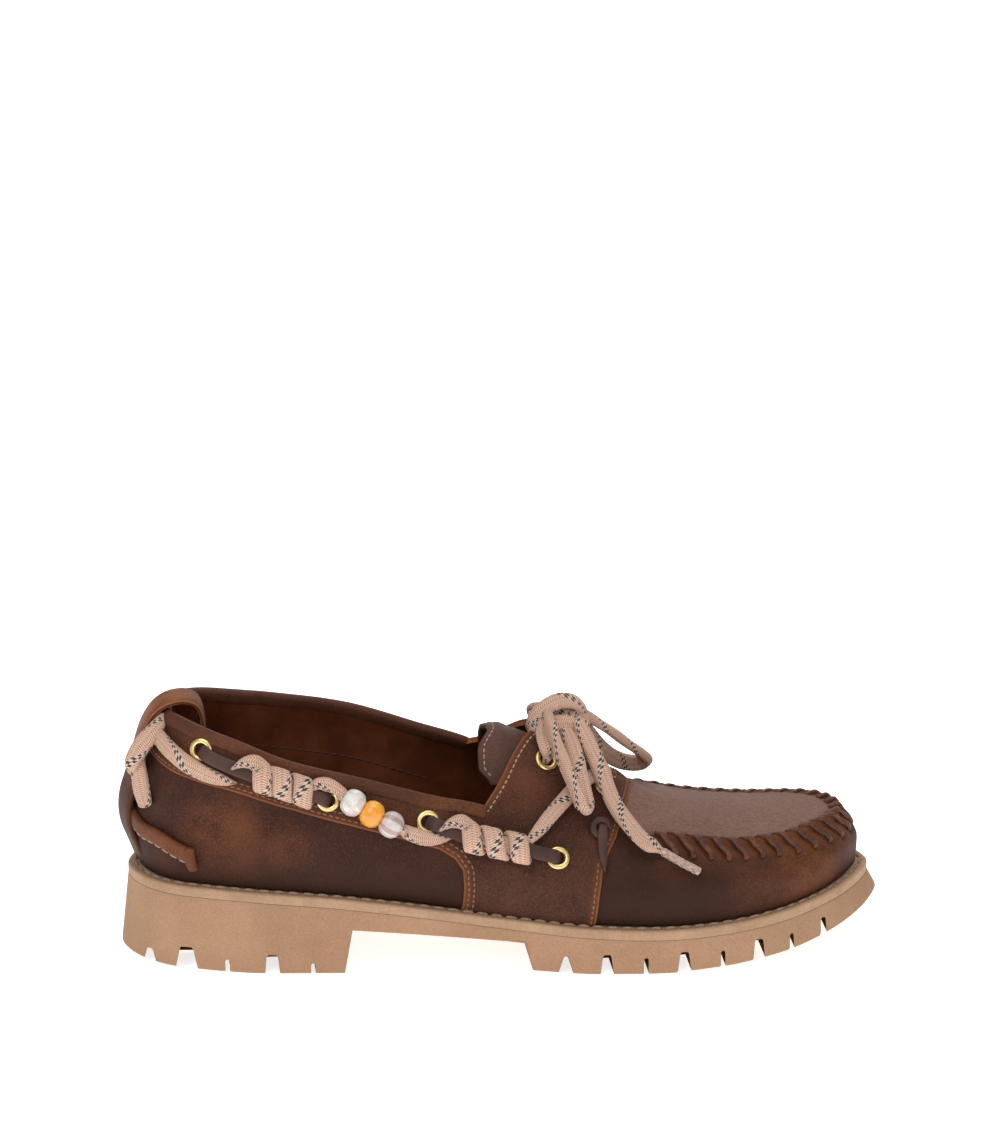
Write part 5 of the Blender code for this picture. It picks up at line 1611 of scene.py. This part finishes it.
# ---- saddle: the panel that is laid over the quarters ----
SADDLE_FOOT = [
    (0, 0, 81), (0.05, 10, 79.6), (0.1, 22, 77), (0.16, 35, 73.8), (0.22, 48.8, 69.6),
    (0.29, 65, 64.6), (0.36, 82, 59.5), (0.43, 100, 54.6), (0.49, 112, 51.2), (0.53, 119, 49.2),
    (0.57, 124.6, 45.8), (0.61, 127.8, 41), (0.66, 128.2, 34), (0.71, 127.8, 27), (0.76, 127.3, 0),
    (0.82, 140, 0), (0.9, 157, 0), (1.0, 177.5, 0)]
SADDLE_TOP = [
    (0, 0), (0.05, 8), (0.1, 18), (0.16, 31), (0.22, 45), (0.29, 61), (0.36, 78), (0.43, 94),
    (0.49, 106.5), (0.53, 116), (0.57, 126.5), (0.605, 136), (0.66, 146), (0.71, 154), (0.76, 161),
    (0.82, 169), (0.9, 181), (1.0, SADDLE_END)]
U_CORNER = 0.605
SADDLE_FRONT = [
    (0, 177.5), (1, 178.6), (1.5, 180.4), (2, 186.5), (2.3, 190), (2.6, 193.6), (3, SADDLE_END)]
LOWER_ROWS, FACING_ROW = (1.9, 3.9), 2.4      # stitch rows, from the edge beside them


def saddle_place(side, u, v):
    """Section and girth of a place on the saddle: u from heel to front, v from foot to top."""
    form = FORM[side]
    us = [r[0] for r in SADDLE_FOOT]
    foot_w = [float(form.w_at_height(t, z)) if z > 30 or z == 27 else 0.0
              for _, t, z in SADDLE_FOOT]
    foot_t = np.interp(u, us, [r[1] for r in SADDLE_FOOT])
    low = np.interp(u, us, foot_w)
    top_t = smooth(us, [r[1] for r in SADDLE_TOP], u)
    high = form.top(top_t)
    t, w = foot_t + (top_t - foot_t) * v, low + (high - low) * v
    bow = np.interp(w, *zip(*SADDLE_FRONT)) - (177.5 + (SADDLE_END - 177.5) * v)
    return t + bow * ease(u, 0.76, 1.0) * (u > 0.76), w


def saddle_point(side, u, v, lift):
    t, w = saddle_place(side, u, v)
    t, w = np.clip(t, 0, T_END), np.where(w > 2.9985, 3.0, w)
    return on_form(side, t, w, lift + agreed(side, t, w, relief))


def saddle_edges(side, count=260):
    """Sections and girths along the free edges of the saddle."""
    line = np.linspace(0, 1, count)
    return {"foot": saddle_place(side, line * 0.757, 0 * line),
            "front": saddle_place(side, 0 * line + 1, line * 0.995),
            "facing": saddle_place(side, U_CORNER + line * (0.985 - U_CORNER), 0 * line + 1)}


def edge_distance(side, points):
    """Way of places on the saddle from the nearest of its free edges."""
    spots = np.vstack([FORM[side].at(t, w, SADDLE_LIFT)
                       for t, w in saddle_edges(side, 1800).values()])
    tree = KDTree(len(spots))
    for k, spot in enumerate(spots):
        tree.insert(spot, k)
    tree.balance()
    return np.array([tree.find(p)[2] for p in points])


def clustered(count, first, last):
    """Shares from 0 to 1, closer together at the ends that are asked for."""
    k = np.linspace(0, 1, count)
    turned = (1 - np.cos(k * math.pi)) / 2
    blend_ = 0.45 * np.where(k < 0.5, first, last)
    return k * (1 - blend_) + turned * blend_


def make_saddle():
    us, vs = clustered(196, 0, 1), clustered(84, 1, 1)
    halves = []
    for side in SIDES:
        def place(i, j, side=side):
            u, v = us[i], vs[j]
            away = edge_distance(side, saddle_point(side, u, v, SADDLE_LIFT))
            soft = 0.5 * (1 - np.clip(away / 0.8, 0, 1)) ** 1.6
            return saddle_point(side, u, v, SADDLE_LIFT - soft), columns(away, v)
        halves.append(sheet("half", len(us), len(vs), place))
    saddle = weld(join("saddle_panel", halves), closed=False)
    edit(saddle, lambda: bpy.ops.mesh.normals_make_consistent(inside=False))
    facing_out(saddle, away_from_middle)
    punch(saddle)
    shade(thicken(saddle, SADDLE_THICK, "saddle", "edge", "edge"), 48)
    hand_over(saddle, "upper")
    sew_saddle()


def beside_edge(side, edge, distance):
    """Path on the saddle at a distance from one of its edges, with outward directions."""
    form, (t, w) = FORM[side], saddle_edges(side)[edge]
    keep = (w > 0.02) & (w < 2.98)
    t, w = t[keep], w[keep]
    by_t = form.at(t + 0.5, w) - form.at(t - 0.5, w)
    by_w = (form.at(t, w + 0.01) - form.at(t, w - 0.01)) * 50
    along = heading(form.at(t, w))
    inward = np.cross(form.normal(t, w), along) * distance
    part_t, part_w = np.sum(inward * by_t, axis=1), np.sum(inward * by_w, axis=1)
    tt, ww, tw = (np.sum(a * b, axis=1) for a, b in ((by_t, by_t), (by_w, by_w), (by_t, by_w)))
    step_t = (part_t * ww - part_w * tw) / (tt * ww - tw ** 2)
    step_w = (part_w * tt - part_t * tw) / (tt * ww - tw ** 2)
    turned = {"foot": step_w[:80], "front": -step_t, "facing": -step_w}[edge]
    sign = 1.0 if np.median(turned) > 0 else -1.0
    t, w = t + sign * step_t, w + sign * step_w
    lift = SADDLE_LIFT + agreed(side, t, w, relief)
    return on_form(side, t, w, lift), form.normal(t, w)


def sew_saddle():
    rows = []
    for side in SIDES:
        for k, distance in enumerate(LOWER_ROWS):
            rows.append((f"saddle_foot_stitches_{k}_{SIDES[side]}", side, "foot", distance))
        rows.append((f"saddle_front_stitches_{SIDES[side]}", side, "front", LOWER_ROWS[0]))
        rows.append((f"facing_stitches_{SIDES[side]}", side, "facing", FACING_ROW))
    for name, side, edge, distance in rows:
        path, ups = beside_edge(side, edge, distance)
        thread = "thread_light" if edge == "facing" else "thread_rust"
        sew(name, path, ups, size("seam_pitch"), 1.7, 0.7, 0.6, thread, "upper")


# ---- collar, tongue, heel strap and heel band ----
COLLAR_GIRTH, COLLAR_LIFT, COLLAR_WIDTH, COLLAR_THICK = -1.6, -0.6, 5.6, 4.2
LINING_END, LINING_GIRTH = 126, -21.0      # stitches inside the collar


def round_heel(end, step, girth, lift):
    """Points and normals at one girth, from a section of one side round the heel and back."""
    line = []
    for side, ts in ((LATERAL, np.arange(end, 0, -step)), (MEDIAL, np.arange(0, end + 1, step))):
        w = FORM[side].w_at_girth(ts, girth)
        line.append(np.hstack([on_form(side, ts, w, lift), FORM[side].normal(ts, w)]))
    return np.vstack(line)


def make_collar():
    stops = [[*row, COLLAR_WIDTH, COLLAR_THICK]
             for row in round_heel(CORNER, 2.0, COLLAR_GIRTH, COLLAR_LIFT)]
    deliver(lace_along("collar_roll", stops, 2, 20), "rolled", "upper")
    line = round_heel(LINING_END, 1.5, LINING_GIRTH, BASE_LIFT - BASE_THICK - 0.05)
    sew("lining_stitches", line[:, :3], -line[:, 3:], 3.4, 2.7, 0.7, 0.6, "thread_dark", "lining")


def form_under(x, y, clear):
    """Height a clearance below the upper's face, over a place of the plan."""
    z = np.zeros(x.shape)
    for side in SIDES:
        form = FORM[side]
        here = np.sign(y) == side if side == MEDIAL else y <= 0
        w = form.search(-np.abs(form.points[..., 1]), x[here], -np.abs(y[here]), 2.0, 3.0)
        normal = form.normal(x[here], w)
        z[here] = form.at(x[here], w)[:, 2] - clear / np.maximum(normal[:, 2], 0.35)
    return z


def tongue_rear(v):
    """Rear edge of the tongue at share v of its half width."""
    reach = np.where(v * LATERAL > 0, 4.8, 2.0) * ease(np.abs(v), 0.1, 0.72)
    return TONGUE_REAR - reach * (1 - 0.9 * ease(np.abs(v), 0.84, 1.0))


def tongue_point(x, v):
    y = v * reading(TONGUE, "half", x)
    z = reading(TONGUE, "top", x) - reading(TONGUE, "drop", x) * np.abs(v) ** 2.4
    rise = 0.5 * np.sin(x / 4.2 + 0.6 * np.sin(y / 5)) * ease(x, 143, 150)
    return columns(x, y, np.minimum(z + rise - 0.5, form_under(x, y, 2.9)))


def make_tongue():
    rows, cols = 70, 60

    def place(i, j):
        v = 2 * j / (cols - 1) - 1
        rear = tongue_rear(v)
        x = rear + (TONGUE_FRONT - rear) * i / (rows - 1)
        points = tongue_point(x, v)
        return points, points[:, :2]

    tongue = weld(sheet("tongue_skin", rows, cols, place), closed=False)
    facing_out(tongue, lambda c: np.array([0.0, 0.0, 1.0]))
    apply(tongue, "SOLIDIFY", thickness=TONGUE_THICK * MM, offset=-1, use_even_offset=True)
    apply(tongue, "BEVEL", width=0.7 * MM, segments=3, limit_method="ANGLE",
          angle_limit=math.radians(50))
    shade(tongue, 45)
    deliver(tongue, "tongue", "upper", "tongue")
    v = np.linspace(-0.93, 0.93, 90)
    line = tongue_point(tongue_rear(v) + 2.4, v) + (0, 0, 0.08)
    ups = upward(unit(np.cross(np.gradient(line, axis=0), (-1.0, 0.0, 0.0))))
    sew("tongue_stitches", line, ups, 2.5, 1.9, 0.6, 0.5, "thread_light", "upper")


STRAP_TURN, STRAP_TUCK = 0.22, 1.5        # the hanging part leans a little and lies closer


def make_heel_strap():
    line = spline([(x, 0.0, z) for x, z in HEEL_STRAP], 10)
    ahead = heading(line)
    ups = columns(-ahead[:, 2], 0 * ahead[:, 0], ahead[:, 0])
    hang = ease(-line[:, 2], -82, -66)[:, None] * (line[:, :1] < 10)
    ups = unit(ups + hang * np.array([0.0, -STRAP_TURN, 0.0]))
    line = line + hang * np.array([STRAP_TUCK, 0.0, 0.0])
    obj = ribbon("heel_strap_skin", line, ups, STRAP_WIDTH, STRAP_THICK, 40)
    deliver(obj, "strap", "strap", "heel_strap")


BAND_WIDTH, BAND_PLEAT = 5.8, 3.9


def make_heel_band():
    stops = []
    for side, rows in ((LATERAL, HEEL_BAND[:0:-1]), (MEDIAL, HEEL_BAND)):
        stops += laid(side, [(t, z + 0.6, 0.7, BAND_WIDTH, 2.9) for t, z in rows])
    band = lace_along("band", stops, 12, 24, tip=1.4)
    tabs = []
    for side in SIDES:
        t, z = HEEL_BAND[-1]
        rows = [(t + 0.2, z + 3.4, 1.2, 3.6, 2.4), (t + 0.3, z + 1.2, 1.9, 4.0, 2.6),
                (t + 0.6, z - 1.6, 1.9, 4.0, 2.6), (t + 0.9, z - 4.2, 1.2, 3.7, 2.4)]
        tabs.append(lace_along("tab", laid(side, rows), 6, tip=0.8))
    deliver(join("heel_band_skin", [band, *tabs]), "rolled", "upper", "heel_band")
    line = spline(stops, 12)
    across = -upward(unit(np.cross(heading(line[:, :3]), line[:, 3:6])))
    low = line[:, :3] + across * (BAND_WIDTH / 2 + 0.1) + line[:, 3:6] * 0.5
    sew("heel_band_stitches", low, unit(line[:, 3:6] + across), BAND_PLEAT, 3.3, 0.9, 0.8,
        "thread_light", "upper")


# ---- moccasin seam ----
# shares of the way to the hole, and lift
WHIP = [(1.08, 1.04, -1.6), (1.1, 0.93, 0), (0.94, 0.7, 0.5), (0.5, 0.36, 0.6), (0, 0, 0.55)]
WHIP_PLUG = [(0.55, 0.42, 0.35), (0.95, 0.8, 0.1), (1.05, 1, -1.2)]
# section, girth, lift, width
TIE_LOOP = [
    (184.4, 3.6, 0.2, 2), (182.8, 5.8, 1.3, 2.5), (179.8, 6.2, 1.8, 2.6), (177.5, 4, 1.8, 2.6),
    (177.4, 1, 1.8, 2.6), (179.4, -0.8, 1.4, 2.5), (181.6, -0.6, 0.4, 2)]
TIE_TAIL = [
    (181.6, 4.6, 0.6, 2.8), (180.9, 2.6, 2.2, 3.6), (180.4, -1.4, 2.4, 3.9),
    (180.3, -5.4, 1.3, 3.7), (180.4, -9.8, 1, 3), (180.6, -14.4, 0.8, 0.8)]
WHIP_THICK, TIE_THICK, WHIP_AROUND = 1.7, 1.5, 9.0


def make_whip_stitches():
    for side in SIDES:
        line_t, gone = seam_line(side)
        pieces = []
        for at in np.interp(seam_places(side), line_t, gone):
            stops = []
            lean = float(seam_lean(side, np.interp(at, gone, line_t)))
            route = [(HOLE_AHEAD * lean * a, -HOLE_DROP * b, c) for a, b, c in WHIP]
            route += [(-PLUG_BACK * lean * a, PLUG_RISE * b, c) for a, b, c in WHIP_PLUG]
            for ahead, girth, lift in route:
                way = at + ahead
                side_now, back = (side, way) if way <= gone[-1] else (-side, 2 * gone[-1] - way)
                t = float(np.interp(back, gone, line_t))
                form = FORM[side_now]
                w = form.w_at_girth(t, girth)
                flat = 0.6 * float(side == MEDIAL) * float(ease(-t, -T_END + 6, -T_END + 36))
                ridge = float(seam_ridge(side_now, t, girth))
                stops.append([*form.at(t, w, BASE_LIFT + ridge + lift - flat), *form.normal(t, w),
                              size("whip_width"), WHIP_THICK - flat])
            pieces.append(lace_along("whip", stops, 4, 12, WHIP_AROUND))
        deliver(join(f"whip_stitches_{SIDES[side]}", pieces), "whip", "upper")
        form, parts = FORM[side], []
        for rows in (TIE_LOOP, TIE_TAIL):
            stops = []
            for t, girth, lift, width in rows:
                w = form.w_at_girth(t, girth)
                stops.append([*form.at(t, w, SADDLE_LIFT + lift), *form.normal(t, w),
                              width, TIE_THICK])
            parts.append(lace_along("tie", stops, 6, 12, WHIP_AROUND))
        deliver(join(f"seam_tie_{SIDES[side]}", parts), "thong", "upper")


# ---- eyelets, thongs and wound laces ----
FLANGE_RADIUS, FLANGE_ROUND, FLANGE_FLAT = 3.46, 1.0, 0.72
BARREL_RADIUS, BARREL_DEPTH = 2.8, 1.6


def eyelet_template():
    flange = primitive("torus", major_segments=40, minor_segments=14,
                       major_radius=FLANGE_RADIUS, minor_radius=FLANGE_ROUND)
    place_vertices(flange, positions(flange) * (1, 1, FLANGE_FLAT) + (0, 0, SADDLE_LIFT + 0.35))
    barrel = primitive("cylinder", vertices=40, radius=BARREL_RADIUS, depth=BARREL_DEPTH,
                       end_fill_type="NOTHING")
    place_vertices(barrel, positions(barrel) + (0, 0, 0.1))
    apply(barrel, "SOLIDIFY", thickness=0.35, offset=-1)
    return join("eyelet", [flange, barrel])


def make_eyelets():
    template = eyelet_template()
    source = positions(template)
    for name, middle, normal in eyelet_axes():
        side_way = unit(np.cross(normal, (0.0, 0.0, 1.0)))
        turn = columns(side_way, np.cross(normal, side_way), normal)
        eyelet = template.copy()
        eyelet.data = template.data.copy()
        bpy.context.scene.collection.objects.link(eyelet)
        eyelet.name = eyelet.data.name = name + "_skin"
        place_vertices(eyelet, world(middle) + source @ turn.T * MM)
        shade(eyelet, 40)
        deliver(eyelet, "brass", "brass", name)
    bpy.data.objects.remove(template)


WRAP_LIFT, WRAP_TURNS = 4.7, 2.6
WRAP_NORMAL, WRAP_ACROSS = 2.9, 4.3        # half axes of the coil
WRAP_WIDTH, WRAP_END_WIDTH, WRAP_THICK = 7.4, 5.8, 3.0
LEAD_IN = [(-9.6, 1.6, 0.4), (-7.0, 4.0, 1.2), (-3.6, 5.2, 1.6)]     # ahead, up and out


def wind(name, side, rows):
    """Flat lace wound round a thong."""
    axis = spline([[*FORM[side].wall(t, z, WRAP_LIFT)[0], *FORM[side].wall(t, z)[1]]
                   for t, z in rows], 30)
    middle, normal = axis[:, :3], unit(axis[:, 3:6])
    ahead = heading(middle)
    up = upward(np.cross(normal, ahead))
    share = np.linspace(0, 1, len(axis))
    turn = math.pi * 0.36 - 2 * math.pi * WRAP_TURNS * share
    a, b = WRAP_NORMAL, WRAP_ACROSS
    c, n = np.cos(turn)[:, None], np.sin(turn)[:, None]
    width = WRAP_WIDTH + (WRAP_END_WIDTH - WRAP_WIDTH) * ease(share, 0.9, 1.0)
    coil = np.hstack([middle + normal * c * a + up * n * b, unit(normal * c / a + up * n / b),
                      columns(width, WRAP_THICK + 0 * width)])[::4]
    first = [middle[0] + ahead[0] * g + up[0] * h + normal[0] * d for g, h, d in LEAD_IN]
    lead = [[*p, *unit(normal[0] * 0.9 + up[0] * lean), w, 2.6]
            for p, w, lean in zip(first, (1.6, 4.0, 6.2), (0.1, 0.3, 0.45))]
    strand = lace_along("strand", lead + list(coil), 4, tip=1.6)
    core = ribbon("core", middle[8:-8], normal[8:-8], 6.6, 3.6, 12)
    deliver(join(name + "_skin", [strand, core]), "lace", "lace", name)


def make_thongs():
    for side in SIDES:
        tag = "_" + SIDES[side]
        for name, first, rows, last in (("rear", THONG_REAR, WRAP_REAR, THONG_REAR_END),
                                        ("front", THONG_FRONT, WRAP_FRONT, THONG_FRONT_END)):
            wind("lace_wrap_" + name + tag, side, rows)
            places = first + [(t, z, WRAP_LIFT) for t, z in rows] + last
            lays = [(*place, THONG_WIDTH, THONG_THICK) for place in places]
            thong = lace_along("thong_" + name + tag + "_skin", laid(side, lays), 8, 16, 13.0)
            deliver(thong, "thong", "thong", "thong_" + name + tag)


# ---- laces along the sides, beads and the lace round the heel ----
def past(bead, neighbour):
    """Row where the lace leaves the last bead, straight on from its neighbour."""
    t, z = (a + (a - b) * 0.62 for a, b in zip(bead[:2], neighbour))
    return (t, z, *bead[2:])


def make_laces():
    for side in SIDES:
        tag = "_" + SIDES[side]
        if side == LATERAL:
            middle = [(t, z, BEAD_LIFT, 3.4, 3.4) for _, t, z in BEADS]
            middle = [past(*middle[:2]), *middle, past(*middle[:-3:-1])]
        else:
            middle = [(t, z, 3.8, 6.4, 3) for _, t, z in BEADS]
        strip_lace("lace_side" + tag, laid(side, LACE_TO_BEADS + middle + LACE_FROM_BEADS))
        strip_lace("lace_run" + tag, laid(side, LACE_RUN))
        strip_lace("lace_tie" + tag, laid(side, LACE_TIE_FOOT) + freed(side, LACE_TIE))
    halves = [laid(side, LACE_HEEL) for side in SIDES]
    strip_lace("lace_heel", halves[0] + halves[1][-2::-1])
    twist = [lace_along("strand", freed(LATERAL, rows), 8, 18)
             for rows in (LACE_TWIST, LACE_SHADE)]
    deliver(join("lace_twist_skin", twist), "lace", "lace", "lace_twist")
    halves = [laid(side, LACE_BAR) for side in SIDES]
    crown = FORM[LATERAL].at(183.0, 3.0)
    top = [crown[0], 0.0, crown[2] + 2.6, 0.4, 0.0, 1.0, 5.6, 3.2]
    strip_lace("lace_bar", halves[0] + [top] + halves[1][::-1])


def strip_lace(name, stops):
    deliver(lace_along(name + "_skin", stops, 8, 18), "lace", "lace", name)


BEAD_BORE, BEAD_SIDES, BEAD_END = 1.75, 40, 72      # the bore cuts the round off at this angle
BEAD_FORMS = {"marble": (4.3, 2.1), "amber": (4.1, 2.3), "crystal": (4.3, 2.1)}


def make_beads():
    centres = [FORM[LATERAL].wall(t, z, BEAD_LIFT)[0] for _, t, z in BEADS]
    for k, (kind, _, _) in enumerate(BEADS):
        axis = unit(centres[min(k + 1, 2)] - centres[max(k - 1, 0)])
        side_way = unit(np.cross(axis, (0.0, 1.0, 0.0)))
        third = np.cross(axis, side_way)
        half, power = BEAD_FORMS[kind]
        turns = np.radians(np.linspace(-BEAD_END, BEAD_END, 25))
        outer = BEAD_SIZE / 2
        radius = outer * np.cos(turns) ** (2 / power / 1.25)
        profile = [(-half * 0.55, BEAD_BORE), (-half * 0.8, BEAD_BORE)]
        profile += list(zip(half * np.sin(turns) / math.sin(turns[-1]), radius))
        profile = np.array(profile + [(half * 0.8, BEAD_BORE), (half * 0.55, BEAD_BORE)])

        def place(i, j, axis=axis, side_way=side_way, third=third, profile=profile, k=k):
            turn = 2 * math.pi * (j % BEAD_SIDES) / BEAD_SIDES
            along, reach = profile[i].T
            points = (centres[k] + axis * along[:, None]
                      + side_way * (reach * np.cos(turn))[:, None]
                      + third * (reach * np.sin(turn))[:, None])
            return points, columns(along, 2 * math.pi * j / BEAD_SIDES)

        bead = weld(sheet(f"bead_{kind}_skin", len(profile), BEAD_SIDES + 1, place), closed=False)
        facing_out(bead, lambda c, k=k: c - world(centres[k]))
        deliver(bead, kind, kind, "bead_" + kind)


# ---- operators, panel and main ----
def operator(name, label, text, *steps):
    """An operator class that runs the steps of one group of pieces."""
    def execute(self, context):
        for step in steps:
            step()
        return {"FINISHED"}

    return type("LOAFER_OT_" + name, (bpy.types.Operator,), {
        "bl_idname": "loafer." + name, "bl_label": label, "__doc__": text,
        "bl_options": {"REGISTER", "UNDO"}, "execute": execute})


OPERATORS = [
    operator("stage", "Stage", "Camera, soft lights and a pale floor", light_stage),
    operator("bow", "Bow", "Free ends and loops of the lace, aglets and knot", tie_bow),
    operator("sole", "Sole", "Lug sole, welt and its stitching", make_sole, make_welt),
    operator("upper", "Upper", "Hollow leather upper and insole", make_shell, make_insole),
    operator("saddle", "Saddle", "Panel over the quarters, with its stitching", make_saddle),
    operator("collar", "Collar", "Rolled collar and lining stitches", make_collar),
    operator("tongue", "Tongue", "Leather tongue", make_tongue),
    operator("heel", "Heel", "Heel strap and heel band", make_heel_strap, make_heel_band),
    operator("seam", "Moccasin seam", "Whip stitches round the plug", make_whip_stitches),
    operator("eyelets", "Eyelets", "Brass eyelets", make_eyelets),
    operator("thongs", "Thongs", "Thongs and the laces wound round them", make_thongs),
    operator("laces", "Laces", "Laces along the sides, heel and instep", make_laces),
    operator("beads", "Beads", "Three beads on the lateral lace", make_beads),
]


class LOAFER_PT_panel(bpy.types.Panel):
    """Sizes, colours and pieces of the loafer"""
    bl_label = "Lace-up loafer"
    bl_idname = "LOAFER_PT_panel"
    bl_space_type = "VIEW_3D"
    bl_region_type = "UI"
    bl_category = "Loafer"

    def draw(self, context):
        for group in (context.scene.loafer_sizes, context.scene.loafer_colours):
            box = self.layout.box()
            for name in group.__annotations__:
                box.prop(group, name)
        for made in OPERATORS:
            self.layout.operator(made.bl_idname)


CLASSES = [LoaferColours, LoaferSizes, *OPERATORS, LOAFER_PT_panel]


def register():
    for made in CLASSES:
        bpy.utils.register_class(made)
    bpy.types.Scene.loafer_colours = bpy.props.PointerProperty(type=LoaferColours)
    bpy.types.Scene.loafer_sizes = bpy.props.PointerProperty(type=LoaferSizes)


def unregister():
    del bpy.types.Scene.loafer_sizes
    del bpy.types.Scene.loafer_colours
    for made in reversed(CLASSES):
        bpy.utils.unregister_class(made)


def main():
    register()
    for made in OPERATORS:
        group, name = made.bl_idname.split(".")
        getattr(getattr(bpy.ops, group), name)()


def plain(box):
    return [[float(v) for v in corner] for corner in box]


if __name__ == "__main__":
    main()
